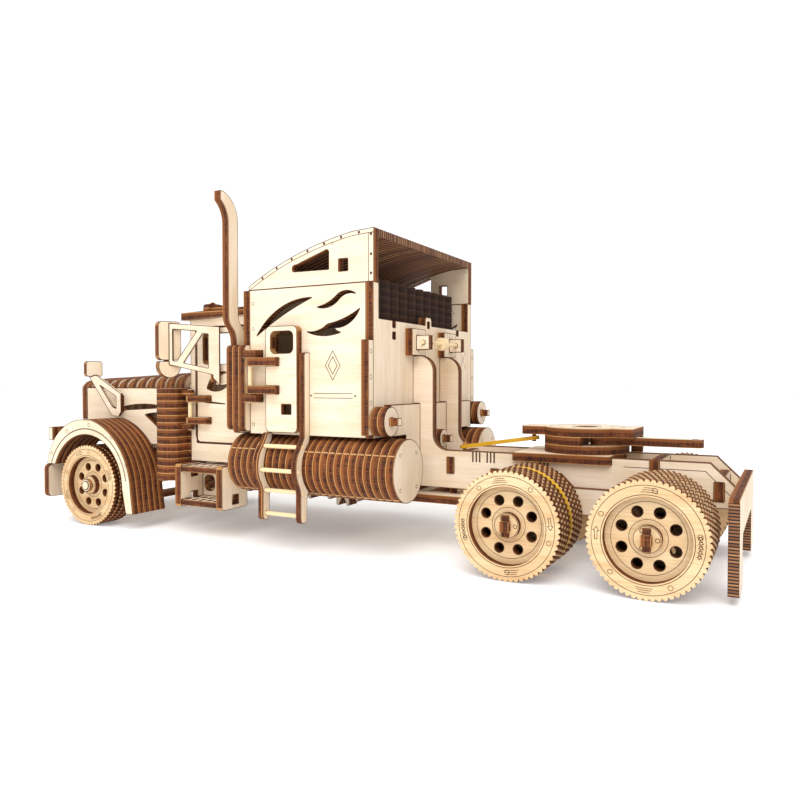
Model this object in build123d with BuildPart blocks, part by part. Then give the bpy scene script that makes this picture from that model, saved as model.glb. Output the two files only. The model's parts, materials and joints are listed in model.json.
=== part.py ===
"""Wooden 3D jigsaw model of a long-nose truck tractor, cut from plywood sheet and dowels.

Frame: +X is the truck's front, +Y its left side, +Z up. The ground is z = 0, and the origin is
midway between the bumper's front and the rear frame's back. All sizes are in millimetres.
"""

from build123d import *
from math import cos, radians, sin
import os

os.makedirs("parts", exist_ok=True)

# ---- sheet, dowels and clearances -------------------------------------------------------------
PLY = 4.0  # thickness of the plywood sheet
THIN_PLY = 3.0  # thickness of the sheet used for ladders and mirror arms
STICK = 2.0  # diameter of the toothpick dowels
RUN_GAP = 0.05  # radial clearance of a shaft that turns in a bore
SLIDE_GAP = 0.3  # clearance between pieces that pass each other

# ---- overall sizes ----------------------------------------------------------------------------
LENGTH = 384.0
FRONT = LENGTH / 2
REAR = -LENGTH / 2
CAB_HALF = 46.0  # half widths, to the outer faces
SLEEPER_HALF = 58.0
HOOD_HALF = 38.0
RAIL_HALF = 18.0
FENDER_HALF = 62.3
BUMPER_HALF = 63.0

# ---- wheels and axles -------------------------------------------------------------------------
WHEEL_RADIUS = 23.5
RIM_RADIUS = 16.8
GROOVE_RADIUS = 21.5
HUB_RADIUS = 5.5
FRONT_AXLE_X = 155.0
MID_AXLE_X = -103.0
REAR_AXLE_X = -160.0
AXLE_Z = WHEEL_RADIUS
DUAL_INNER_Y = RAIL_HALF + PLY + 2.2  # clear of the suspension plates
DUAL_OUTER_Y = DUAL_INNER_Y + 9 * PLY
STEER_WHEEL_INNER_Y = 45.5
STEER_WHEEL_OUTER_Y = STEER_WHEEL_INNER_Y + 4 * PLY
HUB_HOLES = 8
HUB_HOLE_RADIUS = 2.2
HUB_HOLE_CIRCLE = 11.0
AXLE_SQUARE = 4.0
JOURNAL_RADIUS = 3.2
BAND_THICKNESS = 1.6

# ---- chassis ----------------------------------------------------------------------------------
RAIL_INNER = RAIL_HALF - PLY
RAIL_BOTTOM = 31.0
RAIL_TOP = 46.0  # where the floors rest
DECK_RAIL_TOP = 50.0  # behind the sleeper
DECK_FRONT_X = -91.5
DECK_REAR_X = -137.6
DECK_Z = 46.8
DECK_HALF = 21.0
CROSS_MEMBER_X = (-184.0, -158.0, -84.0, -60.6, -20.0, 66.0, 112.0, 138.0, 162.0)
CROSS_SLOT_LOW = 34.0
CROSS_SLOT_HEIGHT = 8.0
CROSS_SLOT_RAISED = {1: 8.0, 3: 4.5}  # how much higher these members sit in the rails
BELLY_TOP = 28.0

# ---- fifth wheel ------------------------------------------------------------------------------
TURNTABLE_X = -122.0
TURNTABLE_RADIUS = 19.7
KINGPIN_RADIUS = 5.0
LEVER_PIVOT = (-131.0, 8.0)
LEVER_TIP = (-171.0, 3.5)
LEVER_WIDTH = 7.0
LEVER_PIN_RADIUS = 1.5

# ---- steering ---------------------------------------------------------------------------------
KINGPIN_Y = 35.0
STEER_PIN_RADIUS = 1.5
STUB_RADIUS = 2.5
STEER_ARM = 14.0  # kingpin to tie rod pin
TIE_PIN_RADIUS = 1.2
TIE_PLAY = 0.8  # radial play that lets the rod follow both arms

# ---- gears under the floor ---------------------------------------------------------------------
GEAR_MODULE = 2.0
DRIVE_TEETH = 14
IDLER_TEETH = 12
DRIVE_GEAR_X = 14.2
IDLER_GEAR_X = DRIVE_GEAR_X + GEAR_MODULE * (DRIVE_TEETH + IDLER_TEETH) / 2
GEAR_Z = 30.0
GEAR_SHAFT_RADIUS = 2.0

# ---- tanks, ladders and steps -----------------------------------------------------------------
TANK_Y = 49.5
TANK_Z = 42.5
TANK_RADIUS = 15.0
TANK_REAR_X = -51.5
TANK_FRONT_X = 45.0
LADDER_REAR_X = -1.5
LADDER_FRONT_X = 21.5
RUNGS = ((63.9, 52.5), (66.9, 41.0), (63.5, 30.5), (63.0, 19.0))  # y and z of each rung
TANK_TOP = TANK_Z + TANK_RADIUS + 0.4
STEP_REAR_X = 53.0
STEP_FRONT_X = 86.3
STEP_INNER_Y = 40.0
STEP_OUTER_Y = 60.0
STEP_BOTTOM = 16.5
STEP_TOP = 39.6

# ---- cab --------------------------------------------------------------------------------------
SLEEPER_FRONT_X = 35.5
CAB_REAR_X = SLEEPER_FRONT_X + PLY  # the cab starts at the wall between them
CAB_FRONT_X = 88.0
CAB_SKIRT_Z = 40.0
CAB_FLOOR_Z = RAIL_TOP + PLY
ROOF_FRONT_X = 93.0
ROOF_FRONT_Z = 118.5
ROOF_RISE = 1.9  # of the roof, front to rear
DOOR_REAR_X = 49.8
DOOR_FRONT_X = 83.2
DOOR_BOTTOM = 50.8
DOOR_TOP = 114.0
DOOR_GAP = 0.5
DOOR_PIN = (85.5, 49.3)  # x and y of the cab door's hinge pin
DOOR_ARM_Z = (61.0, 73.0)  # undersides of the two hinge arms
MIRROR_FOOT = (66.0, 46.3)
MIRROR_DIRECTION = radians(35.0)
HEAD_TURN = radians(20.0)

# ---- hood -------------------------------------------------------------------------------------
HOOD_REAR_X = 97.5
HOOD_SIDE_TOP = 80.5
HOOD_BOTTOM = 47.0
GRILLE_X = 184.0
HOOD_PIN = (184.5, 40.0)  # x and z of the hood's hinge pin
RIDGE_FRONT = 87.2
RIDGE_REAR = 91.0
RIBS = int((GRILLE_X - HOOD_REAR_X - 2.5) / PLY)  # as many as fit behind the grille
RIB_INSET = 1.3

# ---- sleeper ----------------------------------------------------------------------------------
SLEEPER_REAR_X = -33.5
SLEEPER_BOTTOM = 57.7
SLEEPER_TOP = 130.7
REAR_WALL_TOP = 114.0
SLEEPER_DOOR_PIN = (32.5, SLEEPER_HALF + 3.5)
SLEEPER_DOOR_REAR_X = 3.0
SLEEPER_DOOR_FRONT_X = 22.2
SLEEPER_DOOR_LOW = 59.2
SLEEPER_DOOR_HIGH = 111.6
LONG_BAR_Z = (78.2, 92.1)  # undersides of the door's own hinge bars
SHORT_BAR_Z = (LONG_BAR_Z[0] - 4.2, LONG_BAR_Z[1] + PLY + 0.2)  # of the bars on the wall
KNOB_Y = SLEEPER_HALF - 2.5
KNOB_Z = 65.7
KNOB_RADIUS = 6.9
RELEASE_X = SLEEPER_REAR_X - 2 * PLY - 4.0
RELEASE_Z = 104.0

TURN = {"x": (0, 90, 0), "y": (90, 0, 0), "z": (0, 0, 0)}


def shape(start, *steps):
    """A closed flat face. Each step is a corner, or a pair (point passed, end) for an arc."""
    with BuildSketch() as face:
        with BuildLine():
            here = start
            for step in steps:
                if isinstance(step[0], tuple):
                    ThreePointArc(here, step[0], step[1])
                    here = step[1]
                elif step != here:
                    Line(here, step)
                    here = step
            if here != start:
                Line(here, start)
        make_face()
    return face.sketch


def rectangle(low, high):
    """A rectangular face between two opposite corners."""
    return shape(low, (high[0], low[1]), high, (low[0], high[1]))


def rounded(low, high, radius):
    """A rectangular face between two opposite corners, with round corners."""
    with BuildSketch() as face:
        with Locations(((low[0] + high[0]) / 2, (low[1] + high[1]) / 2)):
            RectangleRounded(high[0] - low[0], high[1] - low[1], radius)
    return face.sketch


def lengthwise(face, y_from, y_to, mode=Mode.ADD):
    """A plate that stands along the truck: its face is drawn in x and z."""
    with BuildSketch(Plane.XZ.offset(-y_to)) as flat:
        add(face)
    extrude(flat.sketch, amount=y_to - y_from, mode=mode)


def crosswise(face, x_from, x_to, mode=Mode.ADD):
    """A plate that stands across the truck: its face is drawn in y and z."""
    with BuildSketch(Plane.YZ.offset(x_from)) as flat:
        add(face)
    extrude(flat.sketch, amount=x_to - x_from, mode=mode)


def level(face, z_from, z_to, mode=Mode.ADD):
    """A plate that lies flat: its face is drawn in x and y."""
    with BuildSketch(Plane.XY.offset(z_from)) as flat:
        add(face)
    extrude(flat.sketch, amount=z_to - z_from, mode=mode)


def on_plane(face, plane, thickness):
    """A plate on any plane, standing on its face."""
    with BuildSketch(plane) as flat:
        add(face)
    extrude(flat.sketch, amount=thickness)


def rod(axis, radius, start, end, mode=Mode.ADD):
    """A round bar, or a bore, between two points on a line along the named axis."""
    middle = (Vector(*start) + Vector(*end)) * 0.5
    length = (Vector(*end) - Vector(*start)).length
    with Locations(Location(middle, TURN[axis])):
        Cylinder(radius, length, mode=mode)


def block(low, high, mode=Mode.ADD):
    """A box between two opposite corners."""
    size = [h - l for l, h in zip(low, high)]
    with Locations(tuple((l + h) / 2 for l, h in zip(low, high))):
        Box(*size, mode=mode)


# ---- chassis ----------------------------------------------------------------------------------
# Each rail is one long plate whose upstand rises behind the sleeper and braces its rear wall.
LOWER_PANEL_X = SLEEPER_REAR_X - 2 * PLY
REAR_WALL_X = SLEEPER_REAR_X - PLY
UPSTAND_TOP = 97.5
PANEL_TOP = 73.2
with BuildPart() as chassis_rails:
    rail_face = shape(
        (FRONT - PLY, 20.0),
        (FRONT - PLY, RAIL_TOP - 3.0),
        (FRONT - PLY - 3.0, RAIL_TOP),
        (LOWER_PANEL_X, RAIL_TOP),
        (LOWER_PANEL_X, PANEL_TOP),
        (REAR_WALL_X, PANEL_TOP),
        (REAR_WALL_X, UPSTAND_TOP),
        (REAR_WALL_X - 4.5, UPSTAND_TOP),
        ((REAR_WALL_X - 9.4, UPSTAND_TOP - 2.6), (REAR_WALL_X - 11.5, UPSTAND_TOP - 8.5)),
        (REAR_WALL_X - 11.5, DECK_RAIL_TOP + 8.0),
        ((REAR_WALL_X - 13.8, DECK_RAIL_TOP + 2.3), (REAR_WALL_X - 19.5, DECK_RAIL_TOP)),
        (DECK_FRONT_X, DECK_RAIL_TOP),
        (DECK_FRONT_X, DECK_Z),
        (DECK_REAR_X, DECK_Z),
        (DECK_REAR_X, DECK_RAIL_TOP),
        (REAR + 13.6, DECK_RAIL_TOP),
        (REAR + PLY, DECK_RAIL_TOP - 9.4),
        (REAR + PLY, RAIL_BOTTOM),
        (DRIVE_GEAR_X - 12.0, RAIL_BOTTOM),
        (DRIVE_GEAR_X - 6.0, GEAR_Z - 5.0),
        (IDLER_GEAR_X + 6.0, GEAR_Z - 5.0),
        (IDLER_GEAR_X + 12.0, RAIL_BOTTOM),
        (FRONT - 22.0, RAIL_BOTTOM),
        (FRONT - 16.0, 20.0),
    )
    lengthwise(rail_face, RAIL_INNER, RAIL_HALF)
    for i, x in enumerate(CROSS_MEMBER_X):
        slot_z = CROSS_SLOT_LOW + CROSS_SLOT_RAISED.get(i, 0.0)
        slot = rectangle((x, slot_z), (x + PLY, slot_z + CROSS_SLOT_HEIGHT))
        lengthwise(slot, RAIL_INNER, RAIL_HALF, Mode.SUBTRACT)
    mirror(about=Plane.XZ)
    for x in (DRIVE_GEAR_X, IDLER_GEAR_X):
        bore = GEAR_SHAFT_RADIUS + RUN_GAP
        rod("y", bore, (x, -RAIL_HALF, GEAR_Z), (x, RAIL_HALF, GEAR_Z), Mode.SUBTRACT)
    pin_x, pin_z = HOOD_PIN
    rod("y", STICK / 2 + RUN_GAP, (pin_x, -RAIL_HALF, pin_z), (pin_x, RAIL_HALF, pin_z), Mode.SUBTRACT)

# Cross members are plates between the rails, with a tab through each rail.
BAND_FRONT_X = CROSS_MEMBER_X[3] + PLY / 2
with BuildPart() as cross_members:
    for i, x in enumerate(CROSS_MEMBER_X):
        slot_z = CROSS_SLOT_LOW + CROSS_SLOT_RAISED.get(i, 0.0)
        slot_top = slot_z + CROSS_SLOT_HEIGHT
        low = BELLY_TOP if i in (3, 4) else slot_z - 2.0
        top = min(slot_top + 2.0, DECK_RAIL_TOP)
        block((x, -RAIL_INNER, low), (x + PLY, RAIL_INNER, top))
        block((x, -RAIL_HALF - 0.6, slot_z), (x + PLY, RAIL_HALF + 0.6, slot_top))
    peg_z = CROSS_SLOT_LOW + CROSS_SLOT_HEIGHT
    rod("z", 1.0, (BAND_FRONT_X, 0, peg_z), (BAND_FRONT_X, 0, DECK_RAIL_TOP + 3.0))

with BuildPart() as belly_plate:
    level(rounded((-76.0, -24.5), (-6.0, 24.5), 2.0), BELLY_TOP - PLY, BELLY_TOP)
    for x in (-50.0, -32.0):
        level(rounded((x - 6.0, -12.0), (x + 6.0, 12.0), 2.0), BELLY_TOP - PLY, BELLY_TOP, Mode.SUBTRACT)

DECK_TOP = DECK_Z + PLY
with BuildPart() as deck_plate:
    level(rounded((DECK_REAR_X, -DECK_HALF), (DECK_FRONT_X, DECK_HALF), 2.0), DECK_Z, DECK_TOP)

# The suspension plates carry both rear axles outside the rails.
with BuildPart() as suspension_plates:
    hanger = shape(
        (REAR_AXLE_X - 11.0, 42.0),
        (REAR_AXLE_X - 11.0, 26.0),
        ((REAR_AXLE_X - 5.0, 17.0), (REAR_AXLE_X + 6.0, 16.5)),
        (REAR_AXLE_X + 18.0, 24.0),
        (MID_AXLE_X - 18.0, 24.0),
        (MID_AXLE_X - 6.0, 16.5),
        ((MID_AXLE_X + 5.0, 17.0), (MID_AXLE_X + 11.0, 26.0)),
        (MID_AXLE_X + 11.0, 42.0),
        (MID_AXLE_X - 12.0, 42.0),
        (MID_AXLE_X - 18.0, 36.0),
        (REAR_AXLE_X + 18.0, 36.0),
        (REAR_AXLE_X + 12.0, 42.0),
    )
    hanger_inner = RAIL_HALF
    hanger_outer = RAIL_HALF + PLY
    lengthwise(hanger, hanger_inner, hanger_outer)
    for x in (REAR_AXLE_X, MID_AXLE_X):
        bore = JOURNAL_RADIUS + RUN_GAP
        rod("y", bore, (x, hanger_inner, AXLE_Z), (x, hanger_outer, AXLE_Z), Mode.SUBTRACT)
    for i, x in enumerate(CROSS_MEMBER_X):
        if i in CROSS_SLOT_RAISED:
            continue
        room_top = CROSS_SLOT_LOW + CROSS_SLOT_HEIGHT + 0.2
        room = rectangle((x - 0.2, CROSS_SLOT_LOW - 0.2), (x + PLY + 0.2, room_top))
        lengthwise(room, hanger_inner, hanger_inner + 1.0, Mode.SUBTRACT)
    mirror(about=Plane.XZ)

# The rear frame is an upside-down U whose legs hang behind the wheels as mudflaps.
with BuildPart() as rear_mudflap_frame:
    crosswise(rounded((-53.1, 3.5), (53.1, 40.5), 1.5), REAR, REAR + PLY)
    crosswise(rounded((-34.0, -10.0), (34.0, 24.0), 4.0), REAR, REAR + PLY, Mode.SUBTRACT)

with BuildPart() as front_bumper:
    crosswise(rounded((-BUMPER_HALF, 14.3), (BUMPER_HALF, 34.2), 3.0), FRONT - PLY, FRONT)
    for y in (-46.0, 46.0):
        rod("x", 4.0, (FRONT - PLY, y, 24.2), (FRONT, y, 24.2), Mode.SUBTRACT)
    crosswise(rounded((-12.0, 21.0), (12.0, 27.5), 2.0), FRONT - PLY, FRONT, Mode.SUBTRACT)

# ---- fifth wheel ------------------------------------------------------------------------------
MIDDLE_Z = DECK_TOP + PLY
TABLE_Z = MIDDLE_Z + PLY
TABLE_TOP = TABLE_Z + PLY
with BuildPart() as turntable_base:
    rod("z", TURNTABLE_RADIUS, (TURNTABLE_X, 0, DECK_TOP), (TURNTABLE_X, 0, MIDDLE_Z))
    rod("z", LEVER_PIN_RADIUS, (*LEVER_PIVOT, MIDDLE_Z), (*LEVER_PIVOT, TABLE_Z))

HOOK_X = -96.0
POCKET_X = LEVER_PIVOT[0] + 7.0
TABLE_REAR_X = -146.0
with BuildPart() as turntable_plate:
    rod("z", TURNTABLE_RADIUS, (TURNTABLE_X, 0, MIDDLE_Z), (TURNTABLE_X, 0, TABLE_TOP))
    level(rounded((-108.0, -8.0), (-92.0, 8.0), 2.0), TABLE_Z, TABLE_TOP)
    level(rectangle((TABLE_REAR_X, -13.0), (-130.0, 13.0)), TABLE_Z, TABLE_TOP)
    block((-150.0, -30.0, MIDDLE_Z), (POCKET_X, 30.0, TABLE_Z), Mode.SUBTRACT)
    block((TABLE_REAR_X, -13.0, DECK_TOP), (TABLE_REAR_X + 5.0, -9.0, TABLE_Z))
    pin_from = (TURNTABLE_X, 0, MIDDLE_Z)
    rod("z", KINGPIN_RADIUS, pin_from, (TURNTABLE_X, 0, TABLE_TOP), Mode.SUBTRACT)
    rod("z", 1.0, (HOOK_X, 0, MIDDLE_Z), (HOOK_X, 0, TABLE_Z + 1.0))

with BuildPart() as latch_lever:
    lever_low = MIDDLE_Z + 0.2
    lever_high = TABLE_Z - 0.2
    half = LEVER_WIDTH / 2
    lever_face = shape(
        (LEVER_PIVOT[0], LEVER_PIVOT[1] + 5.0),
        (LEVER_PIVOT[0] - 12.0, LEVER_TIP[1] + half),
        (LEVER_TIP[0], LEVER_TIP[1] + half),
        ((LEVER_TIP[0] - half, LEVER_TIP[1]), (LEVER_TIP[0], LEVER_TIP[1] - half)),
        (LEVER_PIVOT[0] - 8.0, LEVER_TIP[1] - half),
        (LEVER_PIVOT[0], LEVER_PIVOT[1] - 5.0),
        ((LEVER_PIVOT[0] + 5.0, LEVER_PIVOT[1]), (LEVER_PIVOT[0], LEVER_PIVOT[1] + 5.0)),
    )
    level(lever_face, lever_low, lever_high)
    bore = LEVER_PIN_RADIUS + RUN_GAP
    rod("z", bore, (*LEVER_PIVOT, lever_low), (*LEVER_PIVOT, lever_high), Mode.SUBTRACT)
    rod("z", 1.2, (*LEVER_TIP, lever_low), (*LEVER_TIP, lever_high), Mode.SUBTRACT)

# The latch band is one rubber loop from the peg on the chassis to the peg under the table.
BAND_FRONT = Vector(BAND_FRONT_X, 0, DECK_RAIL_TOP + 0.6)
BAND_REAR = Vector(HOOK_X, 0, MIDDLE_Z + 1.6)
with BuildPart() as latch_band:
    span = BAND_FRONT - BAND_REAR
    along = span.normalized()
    upright = Vector(0, 1, 0).cross(along) * -1
    with BuildSketch(Plane(origin=(BAND_FRONT + BAND_REAR) * 0.5, x_dir=along, z_dir=upright)):
        SlotCenterToCenter(span.length, 5.0)
        SlotCenterToCenter(span.length, 1.8, mode=Mode.SUBTRACT)
    extrude(amount=0.9, both=True)

# ---- wheels and axles -------------------------------------------------------------------------


def wheel(axle_x, y_in, y_out, bore_side, grooved):
    """One layered wheel, left side: a tread, two pierced discs and a hub that is proud of them."""
    start = (axle_x, y_in, AXLE_Z)
    end = (axle_x, y_out, AXLE_Z)
    rod("y", WHEEL_RADIUS, start, end)
    if grooved:
        middle = (y_in + y_out) / 2
        from_y = (axle_x, middle - PLY / 2, AXLE_Z)
        to_y = (axle_x, middle + PLY / 2, AXLE_Z)
        rod("y", WHEEL_RADIUS + 1.0, from_y, to_y, Mode.SUBTRACT)
        rod("y", GROOVE_RADIUS, from_y, to_y)
    rod("y", RIM_RADIUS, start, end, Mode.SUBTRACT)
    for disc_y in (y_in, y_out - 2 * PLY):
        rod("y", RIM_RADIUS, (axle_x, disc_y, AXLE_Z), (axle_x, disc_y + PLY, AXLE_Z))
    for i in range(HUB_HOLES):
        angle = radians(360.0 / HUB_HOLES * (i + 0.5))
        x = axle_x + HUB_HOLE_CIRCLE * cos(angle)
        z = AXLE_Z + HUB_HOLE_CIRCLE * sin(angle)
        rod("y", HUB_HOLE_RADIUS, (x, y_in, z), (x, y_out, z), Mode.SUBTRACT)
    rod("y", HUB_RADIUS, (axle_x, y_in - 1.8, AXLE_Z), (axle_x, y_out - 1.0, AXLE_Z))
    if bore_side == "square":
        half = AXLE_SQUARE / 2
        low = (axle_x - half, y_in - 2.0, AXLE_Z - half)
        block(low, (axle_x + half, y_out, AXLE_Z + half), Mode.SUBTRACT)
    else:
        bore = STUB_RADIUS + RUN_GAP
        rod("y", bore, (axle_x, y_in - 2.0, AXLE_Z), (axle_x, y_out, AXLE_Z), Mode.SUBTRACT)


with BuildPart() as rear_wheel_left:
    wheel(REAR_AXLE_X, DUAL_INNER_Y, DUAL_OUTER_Y, "square", True)
with BuildPart() as rear_wheel_right:
    mirror(rear_wheel_left.part, about=Plane.XZ)
with BuildPart() as mid_wheel_left:
    wheel(MID_AXLE_X, DUAL_INNER_Y, DUAL_OUTER_Y, "square", True)
with BuildPart() as mid_wheel_right:
    mirror(mid_wheel_left.part, about=Plane.XZ)
with BuildPart() as front_wheel_left:
    wheel(FRONT_AXLE_X, STEER_WHEEL_INNER_Y, STEER_WHEEL_OUTER_Y, "round", False)
with BuildPart() as front_wheel_right:
    mirror(front_wheel_left.part, about=Plane.XZ)

# A rubber band in the groove of each middle wheel grips the ground.
with BuildPart() as traction_bands:
    groove_y = (DUAL_INNER_Y + DUAL_OUTER_Y) / 2
    band_from = (MID_AXLE_X, groove_y - PLY / 2 + 0.3, AXLE_Z)
    band_to = (MID_AXLE_X, groove_y + PLY / 2 - 0.3, AXLE_Z)
    rod("y", GROOVE_RADIUS + BAND_THICKNESS, band_from, band_to)
    rod("y", GROOVE_RADIUS, band_from, band_to, Mode.SUBTRACT)
    mirror(about=Plane.XZ)


def rigid_axle(axle_x):
    """A square axle, round where the suspension plates carry it, with a locking clip at each end."""
    half = AXLE_SQUARE / 2
    end_y = DUAL_OUTER_Y + 2.0
    journal = DUAL_INNER_Y - 2.0
    block((axle_x - half, -end_y, AXLE_Z - half), (axle_x + half, end_y, AXLE_Z + half))
    rod("y", JOURNAL_RADIUS, (axle_x, -journal, AXLE_Z), (axle_x, journal, AXLE_Z))
    for side in (-1, 1):
        clip_from = side * (DUAL_OUTER_Y - 0.8)
        clip_to = side * (DUAL_OUTER_Y + 0.8)
        low_y, high_y = sorted((clip_from, clip_to))
        block((axle_x - 1.5, low_y, AXLE_Z - 4.6), (axle_x + 1.5, high_y, AXLE_Z + 4.6))


with BuildPart() as rear_axle:
    rigid_axle(REAR_AXLE_X)
with BuildPart() as mid_axle:
    rigid_axle(MID_AXLE_X)

# ---- front axle and steering ------------------------------------------------------------------
BEAM_LOW = 19.3
BEAM_HIGH = 28.7
BEAM_HALF_X = 4.0
ARM_LOW = 15.8
ARM_HIGH = 31.8
with BuildPart() as front_axle_beam:
    low_corner = (FRONT_AXLE_X - BEAM_HALF_X, -KINGPIN_Y - 3.3, BEAM_LOW)
    block(low_corner, (FRONT_AXLE_X + BEAM_HALF_X, KINGPIN_Y + 3.3, BEAM_HIGH))
    for y in (-KINGPIN_Y, KINGPIN_Y):
        bore = STEER_PIN_RADIUS + RUN_GAP
        rod("z", bore, (FRONT_AXLE_X, y, BEAM_LOW), (FRONT_AXLE_X, y, BEAM_HIGH), Mode.SUBTRACT)
    for y in (-RAIL_HALF, RAIL_INNER):
        post = (FRONT_AXLE_X - BEAM_HALF_X, y, BEAM_HIGH)
        block(post, (FRONT_AXLE_X + BEAM_HALF_X, y + PLY, RAIL_BOTTOM))

# Each knuckle is a plate with two arms about the kingpin, a stub axle and a steering arm.
with BuildPart() as steering_knuckle_left:
    block((FRONT_AXLE_X - 5.0, 40.0, ARM_LOW), (FRONT_AXLE_X + 5.0, 43.0, ARM_HIGH))
    for z in (ARM_LOW, ARM_HIGH - 2.8):
        block((FRONT_AXLE_X - 4.0, KINGPIN_Y - 4.0, z), (FRONT_AXLE_X + 4.0, 40.0, z + 2.8))
    steer_arm = rounded(
        (FRONT_AXLE_X - STEER_ARM - 3.0, KINGPIN_Y - 3.0), (FRONT_AXLE_X, KINGPIN_Y + 3.0), 2.5
    )
    level(steer_arm, ARM_LOW, ARM_LOW + 2.8)
    rod("z", STEER_PIN_RADIUS, (FRONT_AXLE_X, KINGPIN_Y, ARM_LOW), (FRONT_AXLE_X, KINGPIN_Y, ARM_HIGH))
    rod("y", STUB_RADIUS, (FRONT_AXLE_X, 43.0, AXLE_Z), (FRONT_AXLE_X, STEER_WHEEL_OUTER_Y + 1.6, AXLE_Z))
    cap_from = (FRONT_AXLE_X, STEER_WHEEL_OUTER_Y - 0.7, AXLE_Z)
    rod("y", 3.6, cap_from, (FRONT_AXLE_X, STEER_WHEEL_OUTER_Y + 1.2, AXLE_Z))
    tie_x = FRONT_AXLE_X - STEER_ARM
    rod("z", TIE_PIN_RADIUS, (tie_x, KINGPIN_Y, 11.4), (tie_x, KINGPIN_Y, ARM_LOW))
with BuildPart() as steering_knuckle_right:
    mirror(steering_knuckle_left.part, about=Plane.XZ)

with BuildPart() as tie_rod:
    rod_low = 12.0
    rod_high = ARM_LOW - SLIDE_GAP
    bar = rounded((tie_x - 4.0, -KINGPIN_Y - 4.0), (tie_x + 4.0, KINGPIN_Y + 4.0), 3.5)
    level(bar, rod_low, rod_high)
    for y in (-KINGPIN_Y, KINGPIN_Y):
        bore = TIE_PIN_RADIUS + TIE_PLAY
        rod("z", bore, (tie_x, y, rod_low), (tie_x, y, rod_high), Mode.SUBTRACT)

# ---- gears ------------------------------------------------------------------------------------
TOOTH_ROOT = 1.15  # depths below and above the pitch circle, in modules
TOOTH_TIP = 0.95


def gear(x, z, teeth, turned):
    """A two-layer gear with straight-sided teeth, and its shaft, which turns in both rails."""
    pitch = GEAR_MODULE * teeth / 2
    with BuildSketch(Plane.XZ.offset(PLY)) as wheel_face:
        with Locations((x, z)):
            Circle(pitch - TOOTH_ROOT * GEAR_MODULE)
        for i in range(teeth):
            angle = radians(360.0 / teeth * (i + turned))
            with Locations(Location((x, z, 0), (0, 0, 360.0 / teeth * (i + turned)))):
                root = pitch - TOOTH_ROOT * GEAR_MODULE - 0.4
                tip = pitch + TOOTH_TIP * GEAR_MODULE
                Polygon((root, -1.85), (tip, -0.75), (tip, 0.75), (root, 1.85), align=None)
        for i in range(4):
            angle = radians(90.0 * i + 45.0)
            with Locations((x + pitch * 0.5 * cos(angle), z + pitch * 0.5 * sin(angle))):
                Circle(pitch * 0.17, mode=Mode.SUBTRACT)
    extrude(wheel_face.sketch, amount=-2 * PLY)
    rod("y", GEAR_SHAFT_RADIUS, (x, -RAIL_HALF - 2.0, z), (x, RAIL_HALF + 2.0, z))


with BuildPart() as drive_gear:
    gear(DRIVE_GEAR_X, GEAR_Z, DRIVE_TEETH, 0.0)
with BuildPart() as idler_gear:
    gear(IDLER_GEAR_X, GEAR_Z, IDLER_TEETH, 0.5)

# ---- fenders, tanks, ladders and steps --------------------------------------------------------
FENDER_INNER = HOOD_HALF + SLIDE_GAP
FENDER_FRONT_X = FRONT_AXLE_X + 35.2
with BuildPart() as fenders:
    arch_radius = 29.8
    mouth_x = FRONT_AXLE_X - 32.7
    fender_face = shape(
        (FENDER_FRONT_X, 34.6),
        ((FRONT_AXLE_X + 24.6, 53.6), (FRONT_AXLE_X + 4.0, 62.0)),
        (FRONT_AXLE_X - 4.0, 62.0),
        ((FRONT_AXLE_X - 27.4, 47.0), (FRONT_AXLE_X - 36.3, 23.3)),
        (FRONT_AXLE_X - 38.2, 9.4),
        (mouth_x, 9.4),
        (FRONT_AXLE_X - arch_radius, AXLE_Z),
        ((FRONT_AXLE_X, AXLE_Z + arch_radius), (FRONT_AXLE_X + 27.7, 34.6)),
    )
    lengthwise(fender_face, FENDER_INNER, FENDER_HALF)
    for x in (FRONT_AXLE_X - 27.0, FRONT_AXLE_X + 17.0):
        block((x, RAIL_HALF, 36.0), (x + PLY, FENDER_INNER + 1.0, 44.0))
    block((FENDER_FRONT_X - 5.4, FENDER_HALF - 12.0, 49.0), (FENDER_FRONT_X - 2.2, FENDER_HALF, 56.8))
    mirror(about=Plane.XZ)

with BuildPart() as fuel_tanks:
    rod("x", TANK_RADIUS, (TANK_REAR_X, TANK_Y, TANK_Z), (TANK_FRONT_X, TANK_Y, TANK_Z))
    for x in (-32.0, 30.0):
        block((x, RAIL_HALF, 36.0), (x + PLY, TANK_Y - TANK_RADIUS + 3.0, 44.0))
    mirror(about=Plane.XZ)


def ladder_side(top_z):
    """The outline of a ladder's side plate, from its top down round the tank, in y and z."""
    wall = SLEEPER_HALF
    hug = TANK_RADIUS + RUN_GAP
    tank_top = (TANK_Y + hug * sin(radians(38.0)), TANK_Z + hug * cos(radians(38.0)))
    tank_low = (TANK_Y + hug * sin(radians(140.0)), TANK_Z + hug * cos(radians(140.0)))
    return shape(
        (wall, top_z),
        (wall + 2.6, top_z),
        ((wall + 3.8, top_z - 0.6), (wall + 4.3, top_z - 1.8)),
        (wall + 4.3, SLEEPER_BOTTOM - 0.5),
        ((wall + 6.2, 54.0), (wall + 9.6, 49.5)),
        ((wall + 11.2, 42.5), (wall + 9.6, 35.5)),
        ((wall + 7.6, 31.5), (wall + 7.4, 27.0)),
        (wall + 7.4, 18.0),
        ((wall + 5.0, 15.5), (wall + 2.6, 17.0)),
        (wall + 2.2, 27.0),
        tank_low,
        ((TANK_Y + hug, TANK_Z), tank_top),
        (wall, SLEEPER_BOTTOM - 0.9),
    )


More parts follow.
